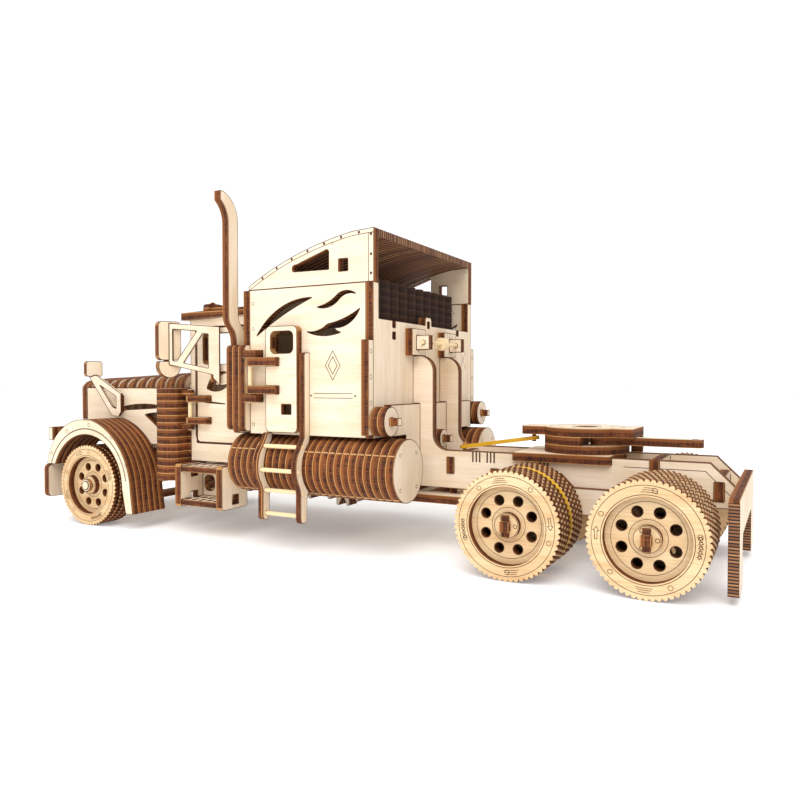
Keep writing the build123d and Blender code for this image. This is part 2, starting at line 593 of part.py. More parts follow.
with BuildPart() as ladders:
    crosswise(ladder_side(98.4), LADDER_REAR_X, LADDER_REAR_X + THIN_PLY)
    crosswise(ladder_side(SLEEPER_DOOR_LOW - 0.4), LADDER_FRONT_X, LADDER_FRONT_X + THIN_PLY)
    for y, z in RUNGS:
        rod("x", STICK / 2, (LADDER_REAR_X, y, z), (LADDER_FRONT_X + THIN_PLY, y, z))
    mirror(about=Plane.XZ)

with BuildPart() as step_boxes:
    for x in (STEP_REAR_X, STEP_FRONT_X - PLY):
        crosswise(rounded((STEP_INNER_Y, STEP_BOTTOM), (STEP_OUTER_Y, STEP_TOP), 1.5), x, x + PLY)
        for z in (STEP_BOTTOM + 2.4, STEP_TOP - 7.4):
            window = rectangle((STEP_INNER_Y + 7.0, z), (STEP_INNER_Y + 12.0, z + 5.0))
            crosswise(window, x, x + PLY, Mode.SUBTRACT)
    back = rectangle((STEP_REAR_X + PLY, STEP_BOTTOM + 1.0), (STEP_FRONT_X - PLY, STEP_TOP - 1.0))
    lengthwise(back, STEP_INNER_Y, STEP_INNER_Y + THIN_PLY)
    for x in (62.0, 77.3):
        cut = rounded((x - 3.6, STEP_BOTTOM + 7.0), (x + 3.6, STEP_TOP - 7.5), 3.0)
        lengthwise(cut, STEP_INNER_Y, STEP_INNER_Y + THIN_PLY, Mode.SUBTRACT)
    for z in (STEP_BOTTOM + 1.0, STEP_TOP - 1.0 - THIN_PLY):
        tread = rectangle((STEP_REAR_X + PLY, STEP_INNER_Y), (STEP_FRONT_X - PLY, STEP_OUTER_Y - 0.6))
        level(tread, z, z + THIN_PLY)
        for i in range(5):
            for y in (STEP_INNER_Y + 7.0, STEP_INNER_Y + 13.5):
                x = STEP_REAR_X + PLY + 2.6 + 5.0 * i
                grate = rectangle((x, y), (x + 2.4, y + 4.0))
                level(grate, z, z + THIN_PLY, Mode.SUBTRACT)
    for x in (60.0, 76.0):
        block((x, RAIL_HALF, 32.0), (x + PLY, STEP_INNER_Y, 38.0))
    mirror(about=Plane.XZ)

# ---- floors -----------------------------------------------------------------------------------
SLEEPER_INNER = SLEEPER_HALF - PLY
CAB_INNER = CAB_HALF - PLY
with BuildPart() as floor_plates:
    cab_floor = rectangle((TANK_FRONT_X + 0.5, -CAB_INNER), (CAB_FRONT_X - PLY, CAB_INNER))
    level(cab_floor, RAIL_TOP, CAB_FLOOR_Z)
    sleeper_floor = rectangle((SLEEPER_REAR_X, -SLEEPER_INNER), (SLEEPER_FRONT_X, SLEEPER_INNER))
    level(sleeper_floor, SLEEPER_BOTTOM, SLEEPER_BOTTOM + PLY)
    for x in (-28.0, 28.0):
        block((x, -24.0, RAIL_TOP), (x + PLY, 24.0, SLEEPER_BOTTOM))

# ---- cab --------------------------------------------------------------------------------------


def roof_under(x):
    """The height of the cab roof's underside, which rises towards the rear."""
    return ROOF_FRONT_Z + ROOF_RISE * (ROOF_FRONT_X - x) / (ROOF_FRONT_X - CAB_REAR_X)


with BuildPart() as cab_sides:
    side_face = shape(
        (CAB_REAR_X, TANK_TOP),
        (TANK_FRONT_X + 0.5, TANK_TOP),
        (TANK_FRONT_X + 0.5, CAB_SKIRT_Z),
        (CAB_FRONT_X, CAB_SKIRT_Z),
        (CAB_FRONT_X, roof_under(CAB_FRONT_X)),
        (CAB_REAR_X, roof_under(CAB_REAR_X)),
    )
    lengthwise(side_face, CAB_INNER, CAB_HALF)
    opening = rectangle(
        (DOOR_REAR_X - 1.2, DOOR_BOTTOM - DOOR_GAP), (DOOR_FRONT_X + DOOR_GAP, DOOR_TOP + DOOR_GAP)
    )
    lengthwise(opening, CAB_INNER, CAB_HALF, Mode.SUBTRACT)
    mirror(about=Plane.XZ)

# The cab front is the firewall with the windscreen frame above it and the cowl before it.
COWL_HALF = HOOD_HALF - 0.5
COWL_TOP = 83.0
with BuildPart() as cab_front:
    front_face = shape(
        (-CAB_INNER, CAB_FLOOR_Z),
        (CAB_INNER, CAB_FLOOR_Z),
        (CAB_INNER, roof_under(CAB_FRONT_X) - 0.1),
        (-CAB_INNER, roof_under(CAB_FRONT_X) - 0.1),
    )
    crosswise(front_face, CAB_FRONT_X - PLY, CAB_FRONT_X)
    for y in (-CAB_INNER + 4.0, 2.0):
        glass = rounded((y, COWL_TOP + 4.0), (y + CAB_INNER - 6.0, ROOF_FRONT_Z - 5.0), 2.5)
        crosswise(glass, CAB_FRONT_X - PLY, CAB_FRONT_X, Mode.SUBTRACT)
    block((CAB_FRONT_X, -COWL_HALF, CAB_FLOOR_Z), (HOOD_REAR_X - SLIDE_GAP, COWL_HALF, COWL_TOP))
    hollow_low = (CAB_FRONT_X, -COWL_HALF + PLY, CAB_FLOOR_Z - 1.0)
    block(hollow_low, (HOOD_REAR_X, COWL_HALF - PLY, COWL_TOP - PLY), Mode.SUBTRACT)

with BuildPart() as cab_roof:
    roof_face = shape(
        (ROOF_FRONT_X, ROOF_FRONT_Z),
        (ROOF_FRONT_X, ROOF_FRONT_Z + PLY),
        (CAB_REAR_X, ROOF_FRONT_Z + ROOF_RISE + PLY),
        (CAB_REAR_X, ROOF_FRONT_Z + ROOF_RISE),
    )
    lengthwise(roof_face, -CAB_HALF - 2.0, CAB_HALF + 2.0)
    # Two horns: a round bell in front, and a tapered tail that lies on the roof behind it.
    bell_z = ROOF_FRONT_Z + PLY + 3.6
    for y in (-30.0, 30.0):
        rod("x", 3.8, (86.0, y, bell_z), (90.0, y, bell_z))
        tail = shape(
            (86.0, ROOF_FRONT_Z + PLY - 0.2),
            (86.0, bell_z + 2.6),
            ((78.0, bell_z + 1.6), (70.0, ROOF_FRONT_Z + PLY + 0.6)),
        )
        lengthwise(tail, y - 1.5, y + 1.5)

# ---- cab doors and their mirrors --------------------------------------------------------------
PIN_X, PIN_Y = DOOR_PIN
ARM_DEPTH = 3.5
with BuildPart() as cab_door_left:
    lengthwise(rectangle((DOOR_REAR_X, DOOR_BOTTOM), (DOOR_FRONT_X, DOOR_TOP)), CAB_INNER, CAB_HALF)
    window = rounded((DOOR_REAR_X + 3.6, 94.0), (DOOR_FRONT_X - 4.4, DOOR_TOP - 3.2), 2.0)
    lengthwise(window, CAB_INNER, CAB_HALF, Mode.SUBTRACT)
    swirl = shape(
        (76.0, 80.5),
        ((71.5, 87.2), (61.0, 89.2)),
        ((68.0, 86.0), (70.0, 82.6)),
        ((67.0, 82.2), (60.0, 83.4)),
        ((68.0, 79.2), (76.0, 80.5)),
    )
    lengthwise(swirl, CAB_INNER, CAB_HALF, Mode.SUBTRACT)
    stripe = shape((82.0, 73.9), (63.0, 72.2), ((72.0, 72.5), (82.0, 73.2)))
    lengthwise(stripe, CAB_INNER, CAB_HALF, Mode.SUBTRACT)
    for z in DOOR_ARM_Z:
        arm = shape((73.0, CAB_HALF), (82.4, CAB_HALF), (PIN_X, PIN_Y - 2.2), (PIN_X, PIN_Y + 2.2), (73.0, 50.4))
        level(arm, z, z + ARM_DEPTH)
        rod("z", 2.2, (PIN_X, PIN_Y, z), (PIN_X, PIN_Y, z + ARM_DEPTH))
        bore = STICK / 2 + RUN_GAP
        rod("z", bore, (PIN_X, PIN_Y, z), (PIN_X, PIN_Y, z + ARM_DEPTH), Mode.SUBTRACT)
with BuildPart() as cab_door_right:
    mirror(cab_door_left.part, about=Plane.XZ)


def upright_plane(x, y, angle):
    """An upright plane through a point, drawn along a level direction turned from +X."""
    x_dir = (cos(angle), sin(angle), 0)
    return Plane(origin=(x, y, 0), x_dir=x_dir, z_dir=(sin(angle), -cos(angle), 0))


HEAD_ANGLE = radians(90.0) - HEAD_TURN
with BuildPart() as door_mirror_left:
    bracket = shape((0.0, 82.0), (3.6, 86.4), (3.6, 88.0), (27.0, 93.4), (27.0, 115.6), (0.0, 114.0))
    on_plane(bracket, upright_plane(*MIRROR_FOOT, MIRROR_DIRECTION), -THIN_PLY)
    front_light = shape((6.0, 91.6), (19.0, 94.4), (9.0, 110.2), (6.0, 110.0))
    rear_light = shape((22.6, 95.2), (24.6, 95.6), (24.6, 112.4), (12.0, 111.6))
    for light in (front_light, rear_light):
        with BuildSketch(upright_plane(*MIRROR_FOOT, MIRROR_DIRECTION)) as cut:
            add(light)
        extrude(cut.sketch, amount=-THIN_PLY, mode=Mode.SUBTRACT)
    block((MIRROR_FOOT[0], CAB_HALF, 84.0), (MIRROR_FOOT[0] + 4.4, CAB_HALF + 3.0, 92.0))
    head_plane = upright_plane(89.6, 62.2, HEAD_ANGLE)
    on_plane(rounded((-6.4, 95.8), (6.4, 116.6), 2.5), head_plane, -PLY)
    with BuildSketch(head_plane) as lower_mirror:
        with Locations((0.0, 92.6)):
            Circle(6.2)
        with Locations((0.0, 101.4)):
            Rectangle(14.0, 12.4, mode=Mode.SUBTRACT)
    extrude(lower_mirror.sketch, amount=-PLY)
    block((86.6, 61.4, 92.4), (89.6, 64.4, 97.0))
with BuildPart() as door_mirror_right:
    mirror(door_mirror_left.part, about=Plane.XZ)

# ---- air cleaners, with the fixed lugs and the pins of the cab doors ---------------------------
CLEANER_X = 98.0
CLEANER_Y = HOOD_HALF + SLIDE_GAP + 10.2
CLEANER_RADIUS = 9.6
CLEANER_LOW = 29.6
CLEANER_HIGH = 80.5
CLEANER_FLAT_X = CAB_FRONT_X + 2.2
with BuildPart() as air_cleaners:
    rod("z", CLEANER_RADIUS, (CLEANER_X, CLEANER_Y, CLEANER_LOW), (CLEANER_X, CLEANER_Y, CLEANER_HIGH))
    trim_low = (CLEANER_X - 12.0, CLEANER_Y - 12.0, CLEANER_LOW)
    block(trim_low, (CLEANER_FLAT_X, CLEANER_Y + 12.0, CLEANER_HIGH), Mode.SUBTRACT)
    block((CAB_FRONT_X, CAB_INNER, 44.0), (CLEANER_FLAT_X + 0.4, CAB_HALF, 76.0))
    lug_low = DOOR_ARM_Z[0] - 0.2 - THIN_PLY
    lug_high = DOOR_ARM_Z[1] + ARM_DEPTH + 0.2
    for z in (lug_low, lug_high):
        block((PIN_X, PIN_Y - 2.2, z), (CLEANER_FLAT_X + 0.4, PIN_Y + 2.2, z + THIN_PLY))
        rod("z", 2.2, (PIN_X, PIN_Y, z), (PIN_X, PIN_Y, z + THIN_PLY))
    rod("z", STICK / 2, (PIN_X, PIN_Y, lug_low), (PIN_X, PIN_Y, lug_high + THIN_PLY))
    mirror(about=Plane.XZ)

# ---- hood -------------------------------------------------------------------------------------
EAR_RADIUS = 3.3
SIDE_INNER = HOOD_HALF - PLY
with BuildPart() as hood_sides:
    side_face = shape(
        (HOOD_REAR_X, HOOD_BOTTOM),
        (pin_x - EAR_RADIUS, HOOD_BOTTOM),
        (pin_x - EAR_RADIUS, pin_z),
        ((pin_x, pin_z - EAR_RADIUS), (pin_x + EAR_RADIUS, pin_z)),
        (GRILLE_X + PLY, HOOD_BOTTOM),
        (GRILLE_X + PLY, 61.0),
        (GRILLE_X, 61.0),
        (GRILLE_X, HOOD_SIDE_TOP),
        (HOOD_REAR_X, HOOD_SIDE_TOP),
    )
    lengthwise(side_face, SIDE_INNER, HOOD_HALF)
    stripe = shape((161.0, 66.5), ((145.0, 70.0), (115.0, 69.2)), ((140.0, 67.6), (161.0, 66.5)))
    lengthwise(stripe, SIDE_INNER, HOOD_HALF, Mode.SUBTRACT)
    fang = shape((133.0, 64.5), ((122.0, 65.8), (112.0, 64.6)), (112.0, 61.5), (124.0, 61.8), (112.0, 52.5), (112.0, 50.0))
    lengthwise(fang, SIDE_INNER, HOOD_HALF, Mode.SUBTRACT)
    rod("y", STICK / 2 + RUN_GAP, (pin_x, SIDE_INNER, pin_z), (pin_x, HOOD_HALF, pin_z), Mode.SUBTRACT)
    mirror(about=Plane.XZ)


def hood_arch(ridge, inset, bottom):
    """The front view of a hood layer, in y and z: a low arch with round shoulders."""
    edge = HOOD_HALF + 0.4 - inset
    top = ridge - inset
    return shape(
        (-edge, bottom),
        (-edge, HOOD_SIDE_TOP),
        ((-edge + 1.9, top - 4.2), (-edge + 7.0, top - 2.2)),
        ((0.0, top), (edge - 7.0, top - 2.2)),
        ((edge - 1.9, top - 4.2), (edge, HOOD_SIDE_TOP)),
        (edge, bottom),
    )


RIB_START = GRILLE_X - RIBS * PLY
with BuildPart() as hood_ribs:
    for i in range(RIBS):
        x = RIB_START + i * PLY
        share = i / (RIBS - 1)
        ridge = RIDGE_REAR + (RIDGE_FRONT - RIDGE_REAR) * share
        crosswise(hood_arch(ridge, RIB_INSET * (i % 2), HOOD_SIDE_TOP), x, x + PLY)

with BuildPart() as hood_grille:
    crosswise(hood_arch(RIDGE_FRONT, 0.0, 61.0), GRILLE_X, GRILLE_X + PLY)
    lower = rectangle((-SIDE_INNER, HOOD_BOTTOM), (SIDE_INNER, 61.0))
    crosswise(lower, GRILLE_X, GRILLE_X + PLY)
    for i in range(9):
        y = -28.0 + 7.0 * i
        slit = rounded((y - 1.6, HOOD_BOTTOM + 4.0), (y + 1.6, RIDGE_FRONT - 8.0), 1.5)
        crosswise(slit, GRILLE_X, GRILLE_X + PLY, Mode.SUBTRACT)

with BuildPart() as hood_mirrors:
    stay_plane = upright_plane(151.0, HOOD_HALF + 0.9, radians(30.0))
    stay = shape((0.0, 66.0), (1.5, 63.2), (5.5, 63.6), (19.4, 88.0), (14.4, 88.0), (0.0, 77.0))
    on_plane(stay, stay_plane, -THIN_PLY)
    with BuildSketch(stay_plane) as stay_light:
        add(shape((3.0, 68.0), (5.0, 69.0), (12.6, 82.2), (3.0, 75.4)))
    extrude(stay_light.sketch, amount=-THIN_PLY, mode=Mode.SUBTRACT)
    block((150.6, HOOD_HALF, 66.0), (154.0, HOOD_HALF + 1.6, 76.0))
    small_head = upright_plane(167.4, 47.6, HEAD_ANGLE)
    on_plane(rounded((-4.8, 87.4), (4.8, 96.6), 1.5), small_head, -PLY)
    mirror(about=Plane.XZ)

with BuildPart() as hood_hinge_pin:
    rod("y", STICK / 2, (pin_x, -HOOD_HALF, pin_z), (pin_x, HOOD_HALF, pin_z))

# ---- sleeper ----------------------------------------------------------------------------------
with BuildPart() as sleeper_sides:
    wall_low = (SLEEPER_REAR_X, SLEEPER_BOTTOM)
    lengthwise(rectangle(wall_low, (SLEEPER_FRONT_X, SLEEPER_TOP)), SLEEPER_INNER, SLEEPER_HALF)
    doorway = rounded((5.0, 61.8), (20.2, 109.4), 3.0)
    flame_a = shape((31.0, 107.4), ((18.5, 119.6), (-3.0, 125.1)), ((16.2, 116.4), (31.0, 107.4)))
    flame_b = shape(
        (-6.0, 120.3),
        ((-12.0, 122.0), (-18.0, 126.0)),
        ((-23.4, 127.3), (-28.0, 125.6)),
        ((-22.6, 125.8), (-18.6, 123.4)),
        ((-12.6, 120.0), (-6.0, 120.3)),
    )
    flame_c = shape(
        (0.0, 108.6),
        ((-6.6, 109.0), (-12.0, 111.9)),
        ((-20.8, 114.0), (-30.2, 118.6)),
        ((-25.0, 112.4), (-15.8, 110.0)),
        ((-17.0, 108.8), (-19.6, 107.8)),
        ((-9.6, 106.4), (0.0, 108.6)),
    )
    for cut in (doorway, flame_a, flame_b, flame_c):
        lengthwise(cut, SLEEPER_INNER, SLEEPER_HALF, Mode.SUBTRACT)
    # The wall's two short hinge bars hold the sleeper door's pin.
    hinge_x, hinge_y = SLEEPER_DOOR_PIN
    for z in SHORT_BAR_Z:
        block((27.2, SLEEPER_HALF, z), (SLEEPER_FRONT_X - 0.2, hinge_y + 2.4, z + 3.7))
    pin_low = (hinge_x, hinge_y, SHORT_BAR_Z[0])
    rod("z", STICK / 2, pin_low, (hinge_x, hinge_y, SHORT_BAR_Z[1] + 3.7))
    mirror(about=Plane.XZ)

MUFFLER_INNER_Y = SLEEPER_HALF - 8.0
MUFFLER_TOP = 103.0
with BuildPart() as sleeper_front:
    wall = shape(
        (-MUFFLER_INNER_Y, SLEEPER_BOTTOM),
        (MUFFLER_INNER_Y, SLEEPER_BOTTOM),
        (MUFFLER_INNER_Y, MUFFLER_TOP + 0.2),
        (SLEEPER_HALF, MUFFLER_TOP + 0.2),
        (SLEEPER_HALF, SLEEPER_TOP - 0.1),
        (-SLEEPER_HALF, SLEEPER_TOP - 0.1),
        (-SLEEPER_HALF, MUFFLER_TOP + 0.2),
        (-MUFFLER_INNER_Y, MUFFLER_TOP + 0.2),
    )
    crosswise(wall, SLEEPER_FRONT_X, SLEEPER_FRONT_X + PLY)
    passage = rounded((-22.0, 66.0), (22.0, 116.0), 6.0)
    crosswise(passage, SLEEPER_FRONT_X, SLEEPER_FRONT_X + PLY, Mode.SUBTRACT)

LATH_LOW = 59.3
LATH_HIGH = 103.7
with BuildPart() as sleeper_rear:
    back_face = shape(
        (-33.0, RAIL_TOP),
        (33.0, RAIL_TOP),
        (33.0, SLEEPER_BOTTOM),
        (SLEEPER_HALF, SLEEPER_BOTTOM),
        (SLEEPER_HALF, SLEEPER_TOP),
        (SLEEPER_HALF - 5.0, SLEEPER_TOP),
        (SLEEPER_HALF - 5.0, REAR_WALL_TOP),
        (-SLEEPER_HALF + 5.0, REAR_WALL_TOP),
        (-SLEEPER_HALF + 5.0, SLEEPER_TOP),
        (-SLEEPER_HALF, SLEEPER_TOP),
        (-SLEEPER_HALF, SLEEPER_BOTTOM),
        (-33.0, SLEEPER_BOTTOM),
    )
    crosswise(back_face, REAR_WALL_X, SLEEPER_REAR_X)
    crosswise(rounded((-3.6, REAR_WALL_TOP - 4.0), (3.6, REAR_WALL_TOP + 4.4), 2.0), REAR_WALL_X, SLEEPER_REAR_X)
    keyhole = rectangle((-1.4, REAR_WALL_TOP - 1.4), (1.4, REAR_WALL_TOP + 2.0))
    crosswise(keyhole, REAR_WALL_X, SLEEPER_REAR_X, Mode.SUBTRACT)
    for y in (-38.0, 38.0):
        for z in (REAR_WALL_TOP - 3.4, REAR_WALL_TOP - 9.0):
            hole = rectangle((y - 1.6, z), (y + 1.6, z + 3.4))
            crosswise(hole, REAR_WALL_X, SLEEPER_REAR_X, Mode.SUBTRACT)
    knob_bore = STICK + RUN_GAP
    for y, z in ((-KNOB_Y, KNOB_Z), (KNOB_Y, KNOB_Z), (0.0, 54.4)):
        rod("x", knob_bore, (REAR_WALL_X, y, z), (SLEEPER_REAR_X, y, z), Mode.SUBTRACT)
    # A lath stands outside each side wall, in line with the rear wall.
    lath_outer = SLEEPER_HALF + 4.3
    for low, high in ((SLEEPER_HALF, lath_outer), (-lath_outer, -SLEEPER_HALF)):
        crosswise(rectangle((low, LATH_LOW), (high, LATH_HIGH)), REAR_WALL_X, SLEEPER_REAR_X)

with BuildPart() as sleeper_lower_panel:
    panel_half = KNOB_Y - KNOB_RADIUS - 0.5  # up to the knobs beside it
    panel_face = shape(
        (-33.0, RAIL_TOP),
        (33.0, RAIL_TOP),
        (33.0, SLEEPER_BOTTOM + 0.3),
        (panel_half, SLEEPER_BOTTOM + 0.3),
        (panel_half, PANEL_TOP),
        (-panel_half, PANEL_TOP),
        (-panel_half, SLEEPER_BOTTOM + 0.3),
        (-33.0, SLEEPER_BOTTOM + 0.3),
    )
    crosswise(panel_face, LOWER_PANEL_X, REAR_WALL_X)
    rod("x", knob_bore, (LOWER_PANEL_X, 0.0, 54.4), (REAR_WALL_X, 0.0, 54.4), Mode.SUBTRACT)

ROOF_REAR_X = REAR_WALL_X - 0.3
ROOF_PEAK = 155.6
ROOF_SHEET = 3.6
SKIN_FRONT_X = SLEEPER_FRONT_X + 0.5


def roof_curve(drop):
    """The roof's crown as steps for an outline, from front to rear, dropped by a distance."""
    return (
        ((19.0, 141.4 - drop), (4.0, 147.3 - drop)),
        ((-11.0, 151.7 - drop), (-26.0, 154.8 - drop)),
        (ROOF_REAR_X, ROOF_PEAK - drop),
    )


with BuildPart() as roof_sides:
    gable = shape(
        (ROOF_REAR_X, SLEEPER_TOP),
        (SKIN_FRONT_X, SLEEPER_TOP),
        (SKIN_FRONT_X, SLEEPER_TOP + 2.0),
        *roof_curve(0.0),
    )
    lengthwise(gable, SLEEPER_INNER, SLEEPER_HALF)
    light = shape((8.0, 138.2), ((8.6, 140.2), (6.4, 141.4)), (-10.4, 147.0), ((-12.4, 147.0), (-12.8, 145.4)), (-12.8, 138.0))
    lengthwise(light, SLEEPER_INNER, SLEEPER_HALF, Mode.SUBTRACT)
    lengthwise(rectangle((-23.6, 136.6), (-18.4, 142.4)), SLEEPER_INNER, SLEEPER_HALF, Mode.SUBTRACT)
    mirror(about=Plane.XZ)

with BuildPart() as roof_skin:
    crown = shape(
        (SKIN_FRONT_X, SLEEPER_TOP),
        (SKIN_FRONT_X, SLEEPER_TOP + 2.0),
        *roof_curve(0.0),
        (ROOF_REAR_X, ROOF_PEAK - ROOF_SHEET),
        (-26.0, 154.8 - ROOF_SHEET),
        ((-11.0, 151.7 - ROOF_SHEET), (4.0, 147.3 - ROOF_SHEET)),
        ((18.0, 141.4 - ROOF_SHEET), (SKIN_FRONT_X - PLY, SLEEPER_TOP)),
    )
    lengthwise(crown, -SLEEPER_INNER, SLEEPER_INNER)

# The bunk is a shelf with a deep stack of layers whose rear edge is scalloped.
LOBES = 10
LOBE_PITCH = 9.4
SHELF_Z = 110.0
with BuildPart() as bunk_stack:
    shelf = rectangle((SLEEPER_REAR_X, -SLEEPER_INNER), (SLEEPER_FRONT_X, SLEEPER_INNER))
    level(shelf, SHELF_Z, SHELF_Z + PLY)
    stack_low = SHELF_Z + PLY
    stack_high = stack_low + 5 * PLY
    half_width = LOBES * LOBE_PITCH / 2
    block((-27.0, -half_width, stack_low), (-10.0, half_width, stack_high))
    for i in range(LOBES):
        y = (i - (LOBES - 1) / 2) * LOBE_PITCH
        rod("z", 4.2, (-27.4, y, stack_low), (-27.4, y, stack_high))

with BuildPart() as sleeper_door_left:
    outer_y = SLEEPER_HALF + 0.2
    panel_low = (SLEEPER_DOOR_REAR_X, SLEEPER_DOOR_LOW)
    panel = rounded(panel_low, (SLEEPER_DOOR_FRONT_X, SLEEPER_DOOR_HIGH), 2.6)
    lengthwise(panel, outer_y, outer_y + PLY)
    window = rounded((5.4, 98.2), (19.0, 109.0), 2.6)
    lengthwise(window, outer_y, outer_y + PLY, Mode.SUBTRACT)
    lengthwise(rectangle((6.6, 68.3), (12.4, 73.1)), outer_y, outer_y + PLY, Mode.SUBTRACT)
    for z in LONG_BAR_Z:
        block((13.8, outer_y + PLY, z), (28.0, outer_y + PLY + 3.4, z + PLY))
        bar = shape((24.0, outer_y + PLY), (28.0, hinge_y - 1.6), (hinge_x, hinge_y - 2.3), (hinge_x, hinge_y + 2.3), (28.0, outer_y + PLY + 3.4), (24.0, outer_y + PLY + 3.4))
        level(bar, z, z + PLY)
        rod("z", 2.3, (hinge_x, hinge_y, z), (hinge_x, hinge_y, z + PLY))
        bore = STICK / 2 + RUN_GAP
        rod("z", bore, (hinge_x, hinge_y, z), (hinge_x, hinge_y, z + PLY), Mode.SUBTRACT)
with BuildPart() as sleeper_door_right:
    mirror(sleeper_door_left.part, about=Plane.XZ)

# ---- exhaust ----------------------------------------------------------------------------------
MUFFLER_X = SLEEPER_FRONT_X + 0.1
MUFFLER_OUTER_Y = SLEEPER_HALF + 4.0
with BuildPart() as mufflers:
    for i, low in enumerate((59.0, TANK_TOP, TANK_TOP + 1.6)):
        can = rounded((MUFFLER_INNER_Y, low), (MUFFLER_OUTER_Y, MUFFLER_TOP), 2.4)
        crosswise(can, MUFFLER_X + i * PLY, MUFFLER_X + (i + 1) * PLY)
    mirror(about=Plane.XZ)

with BuildPart() as exhaust_pipes:
    stack_y = MUFFLER_INNER_Y
    pipe_face = shape(
        (stack_y + 1.6, MUFFLER_TOP),
        (stack_y + 8.6, MUFFLER_TOP),
        (stack_y + 8.8, 105.0),
        ((stack_y + 10.0, 109.4), (stack_y + 12.8, 112.6)),
        ((stack_y + 14.2, 115.2), (stack_y + 14.6, 118.0)),
        (stack_y + 14.6, 164.0),
        ((stack_y + 16.0, 170.4), (stack_y + 20.2, 175.2)),
        (stack_y + 20.2, 179.8),
        (stack_y + 18.4, 179.8),
        ((stack_y + 10.6, 175.0), (stack_y + 7.4, 166.0)),
        (stack_y + 7.4, 119.0),
        ((stack_y + 6.8, 115.8), (stack_y + 4.6, 113.0)),
        ((stack_y + 2.2, 109.4), (stack_y + 1.6, 105.0)),
    )
    pipe_x = MUFFLER_X + 2 * PLY
    crosswise(pipe_face, pipe_x, pipe_x + PLY)
    mirror(about=Plane.XZ)

# ---- release shaft and winding knobs on the rear wall ------------------------------------------
with BuildPart() as shaft_brackets:
    foot = rectangle((11.6, UPSTAND_TOP), (26.4, UPSTAND_TOP + 13.5))
    crosswise(foot, LOWER_PANEL_X, REAR_WALL_X)
    ear_face = rectangle((RELEASE_X - 3.2, RELEASE_Z - 3.6), (LOWER_PANEL_X, RELEASE_Z + 3.6))
    lengthwise(ear_face, 18.0, 18.0 + PLY)
    shaft_bore = STICK / 2 + RUN_GAP
    ear_low = (RELEASE_X, 18.0, RELEASE_Z)
    rod("y", shaft_bore, ear_low, (RELEASE_X, 18.0 + PLY, RELEASE_Z), Mode.SUBTRACT)
    mirror(about=Plane.XZ)

with BuildPart() as release_shaft:
    rod("y", STICK / 2, (RELEASE_X, -23.6, RELEASE_Z), (RELEASE_X, 23.6, RELEASE_Z))
    rod("y", 3.4, (RELEASE_X, -2.0, RELEASE_Z), (RELEASE_X, 2.0, RELEASE_Z))
    with BuildSketch(Plane.XZ.offset(-15.6)) as star:
        with Locations((RELEASE_X, RELEASE_Z)):
            Circle(2.0)
            with PolarLocations(0.0, 6):
                Polygon((1.2, -1.1), (3.7, 0.0), (1.2, 1.1), align=None)
    extrude(star.sketch, amount=2.0)


def knob(base_x, y, z, radius, length):
    """A stacked knob behind the sleeper, on a shaft that turns in the plates in front of it."""
    face_x = base_x - 0.2
    rod("x", radius, (face_x - length, y, z), (face_x, y, z))
    rod("x", STICK, (face_x, y, z), (SLEEPER_REAR_X - 0.3, y, z))
    block((face_x - length - 4.4, y - 1.8, z - 1.8), (face_x - length, y + 1.8, z + 1.8))


with BuildPart() as winding_knob_left:
    knob(REAR_WALL_X, KNOB_Y, KNOB_Z, KNOB_RADIUS, 2 * PLY)
with BuildPart() as winding_knob_right:
    knob(REAR_WALL_X, -KNOB_Y, KNOB_Z, KNOB_RADIUS, 2 * PLY)
with BuildPart() as winding_knob_centre:
    knob(LOWER_PANEL_X, 0.0, 54.4, 4.8, 5.0)

nodes = {
    "chassis_rails": chassis_rails,
    "cross_members": cross_members,
    "belly_plate": belly_plate,
    "deck_plate": deck_plate,
    "suspension_plates": suspension_plates,
    "rear_mudflap_frame": rear_mudflap_frame,
    "front_bumper": front_bumper,
    "turntable_base": turntable_base,
    "turntable_plate": turntable_plate,
    "latch_lever": latch_lever,
    "latch_band": latch_band,
    "rear_wheel_left": rear_wheel_left,
    "rear_wheel_right": rear_wheel_right,
    "mid_wheel_left": mid_wheel_left,
    "mid_wheel_right": mid_wheel_right,
    "front_wheel_left": front_wheel_left,
    "front_wheel_right": front_wheel_right,
    "traction_bands": traction_bands,
    "rear_axle": rear_axle,
    "mid_axle": mid_axle,
    "front_axle_beam": front_axle_beam,
    "steering_knuckle_left": steering_knuckle_left,
    "steering_knuckle_right": steering_knuckle_right,
    "tie_rod": tie_rod,
    "drive_gear": drive_gear,
    "idler_gear": idler_gear,
    "fenders": fenders,
    "fuel_tanks": fuel_tanks,
    "ladders": ladders,
    "step_boxes": step_boxes,
    "floor_plates": floor_plates,
    "cab_sides": cab_sides,
    "cab_front": cab_front,
    "cab_roof": cab_roof,
    "cab_door_left": cab_door_left,
    "cab_door_right": cab_door_right,
    "door_mirror_left": door_mirror_left,
    "door_mirror_right": door_mirror_right,
    "air_cleaners": air_cleaners,
    "hood_sides": hood_sides,
    "hood_ribs": hood_ribs,
    "hood_grille": hood_grille,
    "hood_mirrors": hood_mirrors,
    "hood_hinge_pin": hood_hinge_pin,
    "sleeper_sides": sleeper_sides,
    "sleeper_front": sleeper_front,
    "sleeper_rear": sleeper_rear,
    "sleeper_lower_panel": sleeper_lower_panel,
    "roof_sides": roof_sides,
    "roof_skin": roof_skin,
    "bunk_stack": bunk_stack,
    "sleeper_door_left": sleeper_door_left,
    "sleeper_door_right": sleeper_door_right,
    "mufflers": mufflers,
    "exhaust_pipes": exhaust_pipes,
    "shaft_brackets": shaft_brackets,
    "release_shaft": release_shaft,
    "winding_knob_left": winding_knob_left,
    "winding_knob_right": winding_knob_right,
    "winding_knob_centre": winding_knob_centre,
}
for name, sub_part in nodes.items():
    sub_part.part.label = name
    export_step(sub_part.part, f"parts/{name}.step")
